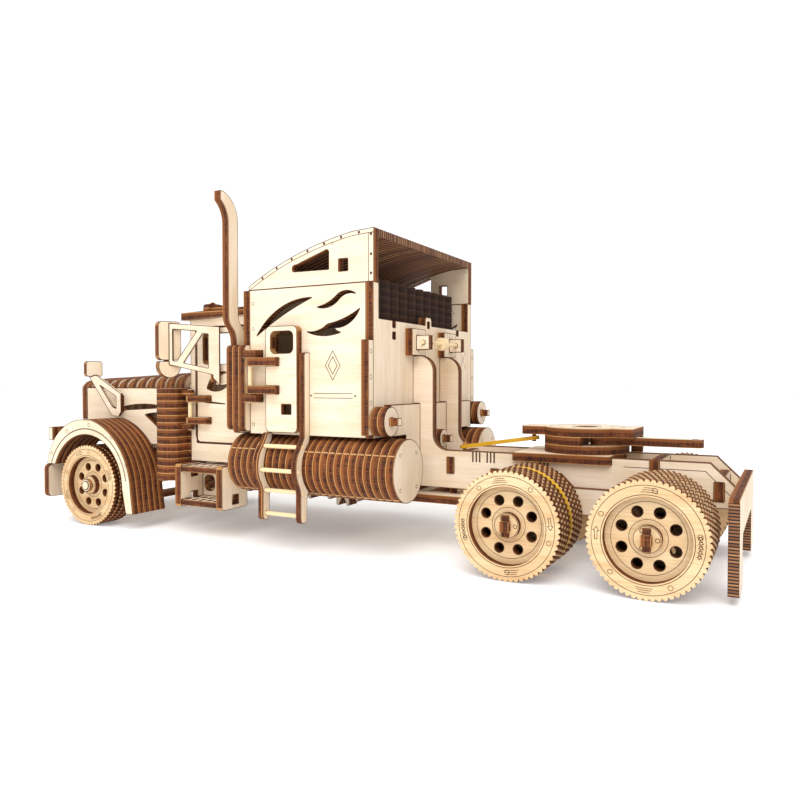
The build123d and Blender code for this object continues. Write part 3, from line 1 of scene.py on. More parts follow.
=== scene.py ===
"""The looks of the plywood truck tractor: birch faces, burnt edges, toothed tyres and engraving."""

import json
import math

import bmesh
import bpy
from bpy.props import FloatProperty, FloatVectorProperty, IntProperty, PointerProperty
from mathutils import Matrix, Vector
from mathutils.geometry import tessellate_polygon

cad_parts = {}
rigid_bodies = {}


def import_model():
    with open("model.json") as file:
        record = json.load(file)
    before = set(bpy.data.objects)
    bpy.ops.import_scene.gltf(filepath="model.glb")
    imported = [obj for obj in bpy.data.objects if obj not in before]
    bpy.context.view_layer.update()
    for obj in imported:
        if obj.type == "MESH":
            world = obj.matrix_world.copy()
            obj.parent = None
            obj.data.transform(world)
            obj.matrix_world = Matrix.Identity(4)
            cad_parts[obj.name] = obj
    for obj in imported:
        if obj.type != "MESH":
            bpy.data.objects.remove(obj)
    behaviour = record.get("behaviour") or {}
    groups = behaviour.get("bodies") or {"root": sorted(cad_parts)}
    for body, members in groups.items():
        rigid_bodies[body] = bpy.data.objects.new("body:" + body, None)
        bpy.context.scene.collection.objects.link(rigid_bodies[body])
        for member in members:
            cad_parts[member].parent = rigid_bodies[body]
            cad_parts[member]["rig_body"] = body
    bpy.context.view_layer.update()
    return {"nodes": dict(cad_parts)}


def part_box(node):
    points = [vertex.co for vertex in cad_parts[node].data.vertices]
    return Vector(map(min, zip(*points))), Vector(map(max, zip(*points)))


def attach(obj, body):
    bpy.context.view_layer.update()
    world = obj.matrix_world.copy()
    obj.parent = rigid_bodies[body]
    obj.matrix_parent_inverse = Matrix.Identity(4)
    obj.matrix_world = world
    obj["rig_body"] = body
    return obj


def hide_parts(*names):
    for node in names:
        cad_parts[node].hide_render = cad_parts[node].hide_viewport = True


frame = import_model()

bl_info = {
    "name": "Plywood truck tractor",
    "version": (1, 0, 0),
    "blender": (4, 5, 0),
    "location": "View3D > Sidebar > Truck",
    "description": "Finishes, tyres and engraving of a plywood truck tractor kit",
    "category": "Object",
}

MM = 0.001
AXES = {"x": 0, "y": 1, "z": 2}

# Which way each node's sheets face. Nodes that aren't listed hold sheets that face several ways.
SHEETS_FACING = {
    "x": (
        "rear_mudflap_frame",
        "front_bumper",
        "fuel_tanks",
        "ladders",
        "mufflers",
        "exhaust_pipes",
        "hood_ribs",
        "hood_grille",
        "sleeper_front",
        "sleeper_rear",
        "sleeper_lower_panel",
        "winding_knob_left",
        "winding_knob_right",
        "winding_knob_centre",
    ),
    "y": (
        "chassis_rails",
        "suspension_plates",
        "fenders",
        "cab_sides",
        "hood_sides",
        "roof_sides",
        "drive_gear",
        "idler_gear",
    ),
    "z": (
        "belly_plate",
        "deck_plate",
        "turntable_base",
        "turntable_plate",
        "latch_lever",
        "bunk_stack",
        "tie_rod",
        "cab_roof",
        "air_cleaners",
    ),
}
STICKS = ("release_shaft", "hood_hinge_pin")
BANDS = ("latch_band", "traction_bands")
TWIN_WHEELS = ("rear_wheel_left", "rear_wheel_right", "mid_wheel_left", "mid_wheel_right")
FRONT_WHEELS = ("front_wheel_left", "front_wheel_right")

# Thin layers that lie on the faces, so that lines and sheets show apart.
LINE_LIFT = 0.03 * MM
SCORCH_LIFT = 0.02 * MM
SHEET_GAP = 0.02 * MM
SHORT_EDGE = 0.05 * MM  # edges shorter than this get no burnt line
SAME_PLANE = 0.9995  # cosine between the normals of one flat patch
SQUARE_ON = 0.999  # cosine of a flat face that looks straight along an axis
FACING = 0.7  # cosine of a polygon that looks along an axis more than across it
EDGE_LIMIT = 1.2  # a patch wider than this many sheets is a face, not a cut edge

# Wheels.
TWIN_LAYERS = 9
FRONT_LAYERS = 4
POINTS_PER_TOOTH = 6
GROOVE_LAYER = 4  # the sheet between the twin tyres, counted from outside
HOLE_CIRCLE = 11.0 * MM
HOLE_RADIUS = 2.2 * MM
BOSS_RADIUS = 5.5 * MM
BOSS_SUNK = 1.0 * MM  # how far the boss stays below the tyre's outer face
BOSS_BEHIND = 1.8 * MM  # and how far it stands out of the inner one
AXLE_HALF = 2.0 * MM  # of the square axle ends
STUB_BORE = 2.55 * MM  # of the front wheels' round bores
MARK_CIRCLE = 19.4 * MM  # the marks' middle on a tyre's face
SCORE_SLOT = 2  # the material slot of the marks
ARROW = ((19.9, -7), (19.9, 3), (20.6, 3), (19.4, 8), (18.2, 3), (18.9, 3), (18.9, -7))

# Places of the faces and parts that are drawn on.
STICK_RADIUS = 1.06 * MM
FLAP_TOP = 38.0 * MM
REAR_WALL = 37.5 * MM
BUMPER_FACE = 192.0 * MM
TABLE_TOP = 62.8 * MM
TURNTABLE = (-122.0 * MM, 0.0)
FRONT_AXLE = (155.0 * MM, 23.5 * MM)
TANK_AXIS = (49.5 * MM, 42.5 * MM)
TANK_END = 51.5 * MM
DOT_STEP = 10.0 * MM
ROOF_ARCS = (
    ((36.0, 132.7), (19.0, 141.4), (4.0, 147.3)),
    ((4.0, 147.3), (-11.0, 151.7), (-26.0, 154.8)),
)
ROOF_TAIL = (-37.6, 155.5)


def linear(hex_colour):
    """A linear RGBA colour from an sRGB hex value."""
    channels = [int(hex_colour[i : i + 2], 16) / 255 for i in (1, 3, 5)]
    return [c / 12.92 if c <= 0.04045 else ((c + 0.055) / 1.055) ** 2.4 for c in channels] + [1.0]


# ---- settings ----------------------------------------------------------------------------------
class TRUCK_PG_plywood(bpy.types.PropertyGroup):
    sheet: FloatProperty(
        name="Sheet", description="Thickness of the plywood", default=4.0 * MM, unit="LENGTH"
    )
    scorch: FloatProperty(
        name="Scorch line",
        description="Width of the burnt line that the laser leaves round a face",
        default=0.30 * MM,
        unit="LENGTH",
    )
    burnt: FloatVectorProperty(
        name="Burnt edge",
        description="Colour of the laser-cut edge",
        subtype="COLOR",
        size=4,
        default=linear("#693517"),
    )


class TRUCK_PG_tyre(bpy.types.PropertyGroup):
    """The layers of a wheel."""

    teeth: IntProperty(name="Teeth", description="Teeth cut round each layer", default=60, min=12)
    tooth_depth: FloatProperty(
        name="Tooth depth", description="Depth of the tread", default=1.15 * MM, unit="LENGTH"
    )
    radius: FloatProperty(
        name="Radius", description="Radius over the teeth", default=23.5 * MM, unit="LENGTH"
    )
    rim: FloatProperty(
        name="Rim", description="Radius of the tyre's opening", default=16.8 * MM, unit="LENGTH"
    )
    groove: FloatProperty(
        name="Groove", description="Radius between the twin tyres", default=21.5 * MM, unit="LENGTH"
    )


class TRUCK_PG_studio(bpy.types.PropertyGroup):
    """The camera and the lights."""

    lens: FloatProperty(name="Lens", description="Focal length", default=32.67, unit="CAMERA")
    key: FloatProperty(
        name="Key light", description="Power of the key light", default=10.2, unit="POWER"
    )
    fill: FloatProperty(name="Sky", description="Strength of the white surround", default=0.80)


# ---- materials ---------------------------------------------------------------------------------
# The Mix node's sockets when it blends colours, which have to be told apart by their number.
SHARE, UNDER, OVER = 0, 6, 7
MIXED = 2


def add(tree, kind, inputs=None, **settings):
    """Adds a node, sets its properties, and gives each input a value or a link."""
    made = tree.nodes.new(kind)
    for name, value in settings.items():
        setattr(made, name, value)
    for name, value in (inputs or {}).items():
        if isinstance(value, bpy.types.NodeSocket):
            tree.links.new(value, made.inputs[name])
        else:
            made.inputs[name].default_value = value
    return made


def blank(name):
    """An empty node material and its tree."""
    material = bpy.data.materials.new(name)
    material.use_nodes = True
    material.node_tree.nodes.clear()
    return material, material.node_tree


def surface(tree, colour, pattern, strength, distance, invert=False, **coat):
    """Ends a material: its colour, a bump from one of its patterns, and its coat's own values."""
    bump = add(
        tree,
        "ShaderNodeBump",
        {"Strength": strength, "Distance": distance, "Height": pattern},
        invert=invert,
    )
    values = {"Base Color": colour, "Normal": bump.outputs[0]}
    values.update({name.replace("_", " "): value for name, value in coat.items()})
    shader = add(tree, "ShaderNodeBsdfPrincipled", values)
    add(tree, "ShaderNodeOutputMaterial", {"Surface": shader.outputs[0]})


def fibres(tree, place, scale, detail=3.0):
    """Noise drawn longer along some axes: scale gives cycles per metre on each axis."""
    mapped = add(tree, "ShaderNodeMapping", {"Vector": place, "Scale": scale})
    values = {"Vector": mapped.outputs[0], "Scale": 1.0, "Detail": detail, "Roughness": 0.6}
    return add(tree, "ShaderNodeTexNoise", values).outputs["Fac"]


def along(axis, fibre, across):
    """A scale vector with the fibre's frequency on its own axis and another on the rest."""
    return [fibre if i == axis else across for i in range(3)]


def tinted(tree, colour, tints, blend="LINEAR"):
    """Lays tints over a colour. Each has its pattern, the pattern's values where it starts and
    is full, its greatest share, and its own colour."""
    for pattern, start, full, most, tint in tints:
        share = add(
            tree,
            "ShaderNodeMapRange",
            {"Value": pattern, "From Min": start, "From Max": full, "To Max": most},
            interpolation_type=blend,
        )
        inputs = {SHARE: share.outputs[0], UNDER: colour, OVER: tint}
        colour = add(tree, "ShaderNodeMix", inputs, data_type="RGBA").outputs[MIXED]
    return colour


def slits_of(tree, distance, pitch, share):
    """Slits at an even pitch: where they are, and the number of each one's step."""
    steps = add(tree, "ShaderNodeMath", {0: distance, 1: pitch}, operation="DIVIDE").outputs[0]
    part = add(tree, "ShaderNodeMath", {0: steps}, operation="FRACT").outputs[0]
    inside = add(tree, "ShaderNodeMath", {0: part, 1: share}, operation="LESS_THAN")
    number = add(tree, "ShaderNodeMath", {0: steps}, operation="FLOOR")
    return inside.outputs[0], number.outputs[0]


# The lightest, middle and warmest tone of the veneer, for plates and for the tanner wheels.
VENEER_TONES = {
    "plate": ("#EFDDC6", "#E5D1B4", "#D0AD82"),
    "wheel": ("#E4C79C", "#D6B183", "#B98959"),
}
CHAR = "#2C140A"  # burnt right through
SOOT_AND_SHADE = "#1B0D08"  # the bunk's layers, deep inside the roof: a deeper char, with painted shade
SCORCHED_TAN = "#985A2B"
OUTER_VENEER = "#C69258"


def birch_face(axis_name, tone):
    """Rotary-cut birch veneer, sanded and bare: a cream face with fine fibres along one way,
    faint pores, and broad warm clouds where heat has tinted it."""
    grain = AXES["z"] if axis_name == "x" else AXES["x"]
    material, tree = blank(f"birch_{tone}_{axis_name}")
    place = add(tree, "ShaderNodeTexCoord").outputs["Object"]
    # Fibres are about 0.5 mm wide and 20 mm long, drawn a little coarse so that they show.
    fine = fibres(tree, place, along(grain, 60.0, 1500.0), 4.0)
    bands = fibres(tree, place, along(grain, 14.0, 170.0), 2.0)
    clouds = fibres(tree, place, [38.0, 38.0, 38.0], 2.0)
    light, mid, warm = (linear(tint) for tint in VENEER_TONES[tone])
    tints = (
        (bands, 0.38, 0.66, 1.0, mid),
        (fine, 0.48, 0.80, 0.55, warm),
        (clouds, 0.50, 0.75, 0.30, warm),
    )
    colour = tinted(tree, light, tints)
    surface(tree, colour, fine, 0.12, 0.2 * MM, Roughness=0.58, IOR=1.45, Specular_IOR_Level=0.35)
    return material


def burnt_edge(axis_name, start, name, dark):
    """Plywood cut by laser: the cut is charred brown, striped by the beam's pulses, and each
    sheet's outer veneers show as pale lines where two sheets meet."""
    axis = AXES[axis_name]
    material, tree = blank(name)
    place = add(tree, "ShaderNodeTexCoord").outputs["Object"]
    parts = add(tree, "ShaderNodeSeparateXYZ", {"Vector": place})
    distance = parts.outputs[axis]
    if axis_name == "y":
        distance = add(tree, "ShaderNodeMath", {0: distance}, operation="ABSOLUTE").outputs[0]
    # How far across its own sheet a point is, from 0 to 1, and a random number for each sheet.
    sheet = bpy.context.scene.truck_plywood.sheet
    from_start = add(tree, "ShaderNodeMath", {0: distance, 1: start}, operation="SUBTRACT")
    layers = add(tree, "ShaderNodeMath", {0: from_start.outputs[0], 1: sheet}, operation="DIVIDE")
    across = add(tree, "ShaderNodeMath", {0: layers.outputs[0]}, operation="FRACT").outputs[0]
    number = add(tree, "ShaderNodeMath", {0: layers.outputs[0]}, operation="FLOOR").outputs[0]
    of_sheet = add(tree, "ShaderNodeTexWhiteNoise", {"W": number}, noise_dimensions="1D")
    centred = add(tree, "ShaderNodeMath", {0: across, 1: 0.5}, operation="SUBTRACT").outputs[0]
    from_middle = add(tree, "ShaderNodeMath", {0: centred}, operation="ABSOLUTE").outputs[0]
    # The beam leaves marks about 0.6 mm apart that run through the sheet.
    pulses = fibres(tree, place, along(axis, 90.0, 1300.0))
    grain = fibres(tree, place, along(axis, 700.0, 120.0))
    burnt = list(bpy.context.scene.truck_plywood.burnt)
    char, tan, pale = linear(CHAR), linear(SCORCHED_TAN), linear(OUTER_VENEER)
    strokes = ((pulses, 0.35, 0.62, 1.0, burnt), (grain, 0.52, 0.74, 0.75, tan))
    colour = tinted(tree, char, strokes)
    # Half of each sheet is a little lighter, as its grain runs the other way there.
    colour = tinted(tree, colour, ((across, 0.52, 0.66, 0.62, tan),), "SMOOTHSTEP")
    colour = tinted(tree, colour, ((of_sheet.outputs["Value"], 0.0, 1.0, 0.30, char),))
    colour = tinted(tree, colour, ((from_middle, 0.425, 0.47, 0.85, pale),), "SMOOTHSTEP")
    # The bunk's edges go almost wholly near-black: a deeper char together with painted shade for
    # their place deep under the roof.
    if dark:
        inputs = {SHARE: 0.9, UNDER: colour, OVER: linear(SOOT_AND_SHADE)}
        colour = add(tree, "ShaderNodeMix", inputs, data_type="RGBA").outputs[MIXED]
    surface(tree, colour, pulses, 0.35, 0.3 * MM, Roughness=0.72, IOR=1.45, Specular_IOR_Level=0.3)
    return material


def two_tones(name, light, dark, scale, roughness, strength=0.2, distance=0.2 * MM, **coat):
    """A small part's finish: two tones mixed by one pattern."""
    material, tree = blank(name)
    place = add(tree, "ShaderNodeTexCoord").outputs["Object"]
    pattern = fibres(tree, place, scale)
    inputs = {SHARE: pattern, UNDER: linear(light), OVER: linear(dark)}
    colour = add(tree, "ShaderNodeMix", inputs, data_type="RGBA").outputs[MIXED]
    surface(tree, colour, pattern, strength, distance, Roughness=roughness, **coat)
    return material


def kerfed_skin():
    """Plywood with rows of short slits, so that the sheet bends: the slits are charred, and
    each row is shifted by half a slit."""
    material, tree = blank("kerfed_birch")
    place = add(tree, "ShaderNodeTexCoord").outputs["Object"]
    parts = add(tree, "ShaderNodeSeparateXYZ", {"Vector": place})
    in_row, row = slits_of(tree, parts.outputs[0], 1.8 * MM, 0.26)
    odd = add(tree, "ShaderNodeMath", {0: row, 1: 1.0}, operation="PINGPONG").outputs[0]
    shift = add(tree, "ShaderNodeMath", {0: odd, 1: 9.0 * MM}, operation="MULTIPLY").outputs[0]
    shifted_y = add(tree, "ShaderNodeMath", {0: parts.outputs[1], 1: shift}, operation="ADD")
    in_slit, _ = slits_of(tree, shifted_y.outputs[0], 18.0 * MM, 0.88)
    slit = add(tree, "ShaderNodeMath", {0: in_row, 1: in_slit}, operation="MULTIPLY").outputs[0]
    inputs = {
        SHARE: fibres(tree, place, along(AXES["y"], 60.0, 1500.0)),
        UNDER: linear("#EAD2A8"),
        OVER: linear("#C99E6A"),
    }
    wood = add(tree, "ShaderNodeMix", inputs, data_type="RGBA").outputs[MIXED]
    inputs = {SHARE: slit, UNDER: wood, OVER: linear("#2A140B")}
    colour = add(tree, "ShaderNodeMix", inputs, data_type="RGBA").outputs[MIXED]
    surface(tree, colour, slit, 0.6, 0.4 * MM, invert=True, Roughness=0.65)
    return material


def kerfed_edge(axis_name, pitch, name):
    """A charred edge that fine slits cross, with pale wood left between them."""
    material, tree = blank(name)
    place = add(tree, "ShaderNodeTexCoord").outputs["Object"]
    parts = add(tree, "ShaderNodeSeparateXYZ", {"Vector": place})
    slit, number = slits_of(tree, parts.outputs[AXES[axis_name]], pitch, 0.45)
    tone = add(tree, "ShaderNodeTexWhiteNoise", {"W": number}, noise_dimensions="1D")
    light, dark = linear("#A9764C"), linear("#74462A")
    inputs = {SHARE: tone.outputs["Value"], UNDER: dark, OVER: light}
    wood = add(tree, "ShaderNodeMix", inputs, data_type="RGBA").outputs[MIXED]
    inputs = {SHARE: slit, UNDER: wood, OVER: linear("#1F0F08")}
    colour = add(tree, "ShaderNodeMix", inputs, data_type="RGBA").outputs[MIXED]
    surface(tree, colour, slit, 0.5, 0.4 * MM, invert=True, Roughness=0.75)
    return material


def finish_named(name, make):
    """A material by name, made the first time that it is asked for."""
    return bpy.data.materials.get(name) or make()


def face_of(axis_name, tone="plate"):
    """The birch face for sheets that face one way."""
    return finish_named(f"birch_{tone}_{axis_name}", lambda: birch_face(axis_name, tone))


def edge_of(axis_name, start, dark=False):
    """The burnt edge of sheets that face one way and start at a distance along that axis."""
    name = f"burnt_edge_{axis_name}_{round(start / MM * 10) % 40:02d}"
    if dark:
        name += "_dark"
    return finish_named(name, lambda: burnt_edge(axis_name, start, name, dark))


def small_finish(name):
    """The finish of a small part: its two tones, the fibres' way and pitch, and its roughness."""
    tones = {
        # The line that a weak laser pass leaves: dry charcoal brown.
        "laser_score": ("#5B371F", "#2F190E", along(AXES["x"], 80.0, 1800.0), 0.85),
        # A turned birch toothpick: pale, fine-grained and slightly polished.
        "birch_stick": ("#F6E4BE", "#DDBB85", along(AXES["y"], 80.0, 1800.0), 0.5),
        # The ends of pegs, toasted by the cut.
        "tan_peg": ("#D9B27E", "#A9763F", along(AXES["x"], 80.0, 1800.0), 0.7),
    }
    return finish_named(name, lambda: two_tones(name, *tones[name]))


def yellow_latex():
    """Natural latex band: a soft matt yellow with dusty, slightly darker patches."""
    dust = [900.0, 900.0, 900.0]
    return two_tones("yellow_latex", "#F2C21C", "#C98F12", dust, 0.62, 0.15, 0.1 * MM, IOR=1.52)


# ---- shapes ------------------------------------------------------------------------------------
def mm(*points):
    """Points given in millimetres, in metres."""
    return [(u * MM, v * MM) for u, v in points]


def polar(centre, radius, angle):
    """The point at a radius and an angle in radians from a centre."""
    return (centre[0] + radius * math.cos(angle), centre[1] + radius * math.sin(angle))


def circle(centre, radius, count):
    """Points round a circle."""
    turn = 2 * math.pi / count
    return [polar(centre, radius, i * turn) for i in range(count)]


def star(centre, outer, inner, turned):
    """A five-pointed star."""
    start = turned + math.pi / 2
    return [polar(centre, inner if i % 2 else outer, start + i * math.pi / 5) for i in range(10)]


def prism(mesh, loops, place, low, high, slots=(0, 0)):
    """Adds a flat-ended solid. The first loop is its outline and the rest are holes; place turns
    a point of the outline and a height into a point of the truck. slots are ends and sides."""
    ends = []
    for height in (low, high):
        ends.append([[mesh.verts.new(place(u, v, height)) for u, v in loop] for loop in loops])
    flat = [[Vector((u, v, 0.0)) for u, v in loop] for loop in loops]
    for end in ends:
        corners = [corner for loop in end for corner in loop]
        for triangle in tessellate_polygon(flat):
            face = mesh.faces.new([corners[i] for i in triangle])
            face.material_index = slots[0]
    for lower, upper in zip(*ends):
        for face in walls(mesh, lower, upper):
            face.material_index = slots[1]


def walls(mesh, lower, upper):
    """Adds the faces between two rings of vertices."""
    made = []
    for i in range(len(lower)):
        j = (i + 1) % len(lower)
        made.append(mesh.faces.new((lower[i], lower[j], upper[j], upper[i])))
    return made


def sliver(mesh, low, high):
    """Adds a very thin plate between two four-cornered rings of points, and gives its faces."""
    low = [mesh.verts.new(point) for point in low]
    high = [mesh.verts.new(point) for point in high]
    return [mesh.faces.new(low), mesh.faces.new(high)] + walls(mesh, low, high)


def lengthwise(side):
    """Places outlines drawn in x and z, at a distance along y to one side."""
    return lambda u, v, h: Vector((u, side * h, v))


def crosswise(u, v, h):
    """Places outlines drawn in y and z, at a distance ahead of the middle."""
    return Vector((h, u, v))


def behind(u, v, h):
    """Places outlines drawn in y and z, at a distance behind the middle."""
    return Vector((-h, u, v))


def level(u, v, h):
    """Places outlines drawn in x and y, at a height."""
    return Vector((u, v, h))


def piece(name, mesh, body, materials, replaced=()):
    """Makes an object from a bmesh, and lets it ride on a CAD body."""
    bmesh.ops.recalc_face_normals(mesh, faces=mesh.faces)
    data = bpy.data.meshes.new(name)
    mesh.to_mesh(data)
    mesh.free()
    for material in materials:
        data.materials.append(material)
    made = bpy.data.objects.new(name, data)
    bpy.context.scene.collection.objects.link(made)
    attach(made, body)
    if replaced:
        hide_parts(*replaced)


def body_of_node(node):
    """The CAD body that a node rides on."""
    return frame["nodes"][node]["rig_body"]


def ribbon(mesh, points, width, place, height, closed=False, slot=0):
    """Adds an engraved line as a thin flat strip that lies on a face."""
    count = len(points)
    for i in range(count if closed else count - 1):
        a = Vector(points[i])
        b = Vector(points[(i + 1) % count])
        way = b - a
        if way.length < 1e-7:
            continue
        way.normalize()
        side = Vector((-way.y, way.x)) * width / 2
        tail = way * width * 0.3
        corners = (a - tail - side, b + tail - side, b + tail + side, a - tail + side)
        levels = (height, height + LINE_LIFT)
        low, high = ([place(c.x, c.y, h) for c in corners] for h in levels)
        for face in sliver(mesh, low, high):
            face.material_index = slot


def ring(mesh, centre, radius, width, place, height, count, slot=0):
    """Adds an engraved circle."""
    ribbon(mesh, circle(centre, radius, count), width, place, height, True, slot)


def flat_patches(data):
    """Groups of a mesh's polygons that share a plane and touch along edges."""
    by_edge = {}
    for polygon in data.polygons:
        for key in polygon.edge_keys:
            by_edge.setdefault(key, []).append(polygon.index)
    seen = set()
    patches = []
    for polygon in data.polygons:
        if polygon.index in seen:
            continue
        seen.add(polygon.index)
        patch, queue = [], [polygon.index]
        normal = polygon.normal.copy()
        while queue:
            index = queue.pop()
            patch.append(index)
            for key in data.polygons[index].edge_keys:
                for other in by_edge[key]:
                    if other not in seen and data.polygons[other].normal.dot(normal) > SAME_PLANE:
                        seen.add(other)
                        queue.append(other)
        patches.append((normal, patch))
    return patches


def narrow_way(data, patch, normal):
    """The axis that a patch faces, the axis that it is narrowest along, and its values there."""
    facing = max(range(3), key=lambda i: abs(normal[i]))
    spreads = []
    for axis in range(3):
        if axis != facing:
            values = [data.vertices[v].co[axis] for p in patch for v in data.polygons[p].vertices]
            spreads.append((max(values) - min(values), axis, values))
    return facing, min(spreads, key=lambda spread: spread[0])


def scorch(node, patches):
    """Draws the burnt line that the laser leaves just inside the outline of each face."""
    data = frame["nodes"][node].data
    width = bpy.context.scene.truck_plywood.scorch
    mesh = bmesh.new()
    for normal, patch in patches:
        owners_of = {}
        for index in patch:
            for key in data.polygons[index].edge_keys:
                owners_of.setdefault(key, []).append(index)
        for key, owners in owners_of.items():
            a, b = (data.vertices[v].co for v in key)
            way = b - a
            if len(owners) != 1 or way.length < SHORT_EDGE:
                continue
            inward = normal.cross(way.normalized()).normalized()
            if inward.dot(data.polygons[owners[0]].center - (a + b) / 2) < 0:
                inward = -inward
            lift = normal * SCORCH_LIFT
            corners = (a, b, b + inward * width, a + inward * width)
            sliver(mesh, [p - lift for p in corners], [p + lift for p in corners])
    if mesh.faces:
        piece(f"{node}_scorch", mesh, body_of_node(node), [small_finish("laser_score")])
    else:
        mesh.free()


# ---- plates ------------------------------------------------------------------------------------
def paint_sheets(node, axis_name):
    """Gives a node whose sheets all face one way its birch faces and burnt edges."""
    data = frame["nodes"][node].data
    axis = AXES[axis_name]
    places = [abs(v.co[axis]) if axis_name == "y" else v.co[axis] for v in data.vertices]
    data.materials.clear()
    data.materials.append(face_of(axis_name))
    # The bunk stack gets the near-black edge, which is partly char and partly painted shade under
    # the roof.
    data.materials.append(edge_of(axis_name, min(places), node == "bunk_stack"))
    for polygon in data.polygons:
        polygon.material_index = 0 if abs(polygon.normal[axis]) > FACING else 1
    scorch(node, [patch for patch in flat_patches(data) if abs(patch[0][axis]) > SQUARE_ON])


def paint_mixed(node):
    """Gives a node with sheets facing several ways its faces and edges, patch by patch."""
    data = frame["nodes"][node].data
    data.materials.clear()
    slots = {}
    wide = []
    sheet = bpy.context.scene.truck_plywood.sheet
    for normal, patch in flat_patches(data):
        facing, (least, narrow, places) = narrow_way(data, patch, normal)
        if least > sheet * EDGE_LIMIT:
            material = face_of("xyz"[facing])
            wide.append((normal, patch))
        else:
            start = min(abs(place) for place in places) if narrow == AXES["y"] else min(places)
            material = edge_of("xyz"[narrow], start)
        if material.name not in slots:
            slots[material.name] = len(data.materials)
            data.materials.append(material)
        for index in patch:
            data.polygons[index].material_index = slots[material.name]
    scorch(node, wide)


class TRUCK_OT_plates(bpy.types.Operator):
    """Gives every plywood node of the frame its birch faces and burnt edges"""

    bl_idname = "truck.plates"
    bl_label = "Finish the plates"

    def execute(self, context):
        facing = {node: axis for axis, group in SHEETS_FACING.items() for node in group}
        elsewhere = STICKS + BANDS + TWIN_WHEELS + FRONT_WHEELS + ("roof_skin",)
        for node in sorted(frame["nodes"]):
            if node in facing:
                paint_sheets(node, facing[node])
            elif node not in elsewhere:
                paint_mixed(node)
        return {"FINISHED"}


class TRUCK_OT_small_parts(bpy.types.Operator):
    """Finishes the dowels and the rubber bands"""

    bl_idname = "truck.small_parts"
    bl_label = "Finish dowels and bands"

    def execute(self, context):
        for nodes, material in ((STICKS, small_finish("birch_stick")), (BANDS, yellow_latex())):
            for node in nodes:
                frame["nodes"][node].data.materials.clear()
                frame["nodes"][node].data.materials.append(material)
        return {"FINISHED"}


class TRUCK_OT_roof(bpy.types.Operator):
    """Finishes the bent roof sheet with its rows of slits, and the mudflaps' striped edges"""

    bl_idname = "truck.roof"
    bl_label = "Finish the roof"

    def execute(self, context):
        data = frame["nodes"]["roof_skin"].data
        data.materials.clear()
        data.materials.append(kerfed_skin())
        data.materials.append(kerfed_edge("y", 1.9 * MM, "kerfed_rear_edge"))
        data.materials.append(kerfed_edge("y", 3.8 * MM, "kerfed_underside"))
        for polygon in data.polygons:
            rear = polygon.normal.x < -0.9
            under = polygon.normal.z < -0.2
            polygon.material_index = 1 if rear else 2 if under else 0
        flap = frame["nodes"]["rear_mudflap_frame"].data
        flap.materials.append(kerfed_edge("z", 1.25 * MM, "kerfed_flap_edge"))
        for polygon in flap.polygons:
            if abs(polygon.normal.y) > FACING and polygon.center.z < FLAP_TOP:
                polygon.material_index = len(flap.materials) - 1
        return {"FINISHED"}


# ---- wheels ------------------------------------------------------------------------------------
def tread_ring(centre, phase):
    """A toothed outline: round lobes with sharp notches between them."""
    look = bpy.context.scene.truck_tyre
    count = look.teeth * POINTS_PER_TOOTH
    points = []
    for i in range(count):
        angle = 2 * math.pi * (i + phase * POINTS_PER_TOOTH) / count
        wave = abs(math.cos(math.pi * i / POINTS_PER_TOOTH))
        radius = look.radius - look.tooth_depth * (1.0 - wave) ** 1.3
        points.append(polar(centre, radius, angle))
    return points


def hub_holes(centre):
    """The eight round holes of a hub disc."""
    angles = [math.radians(45 * i + 22.5) for i in range(8)]
    return [circle(polar(centre, HOLE_CIRCLE, angle), HOLE_RADIUS, 20) for angle in angles]


def tyre_marks(mesh, centre, place, height, turned):
    """The score rings, dowel heads, stars, strokes and arrow on a tyre's outer face."""
    for radius, width in ((17.5, 0.26), (21.2, 0.22)):
        ring(mesh, centre, radius * MM, width * MM, place, height, 64, SCORE_SLOT)
    for i in range(5):
        at = polar(centre, MARK_CIRCLE, turned + math.radians(72 * i + 24))
        ring(mesh, at, 0.95 * MM, 0.2 * MM, place, height, 16, SCORE_SLOT)
    for i in range(5):
        angle = turned + math.pi + math.radians(5.2 * (i - 2))
        points = star(polar(centre, MARK_CIRCLE, angle), 0.95 * MM, 0.42 * MM, angle)
        ribbon(mesh, points, 0.22 * MM, place, height, True, SCORE_SLOT)
    arrow = [
        polar(centre, radius * MM, turned + math.radians(degrees)) for radius, degrees in ARROW
    ]
    ribbon(mesh, arrow, 0.24 * MM, place, height, True, SCORE_SLOT)
    for row in range(3):
        for k in (-1, 1):
            base = turned + math.pi / 2 * k
            start = base + math.radians(-10 + 2 * row)
            end = base + math.radians(10 - 2 * row)
            radius = (18.6 + 0.8 * row) * MM
            stroke = [polar(centre, radius, start + (end - start) * i / 8) for i in range(9)]
            ribbon(mesh, stroke, 0.22 * MM, place, height, False, SCORE_SLOT)


def hub_marks(mesh, centre, place, disc, boss):
    """Score rings on the hub disc and three dowel heads round the axle."""
    ring(mesh, centre, 14.4 * MM, 0.2 * MM, place, disc, 56, SCORE_SLOT)
    ring(mesh, centre, 7.4 * MM, 0.2 * MM, place, disc, 40, SCORE_SLOT)
    ring(mesh, centre, 5.2 * MM, 0.25 * MM, place, boss, 40, SCORE_SLOT)
    for i in range(3):
        at = polar(centre, 3.9 * MM, math.radians(120 * i + 60))
        ring(mesh, at, 0.8 * MM, 0.26 * MM, place, boss, 16, SCORE_SLOT)
    for hole in hub_holes(centre):
        ribbon(mesh, hole, 0.3 * MM, place, disc, True, SCORE_SLOT)


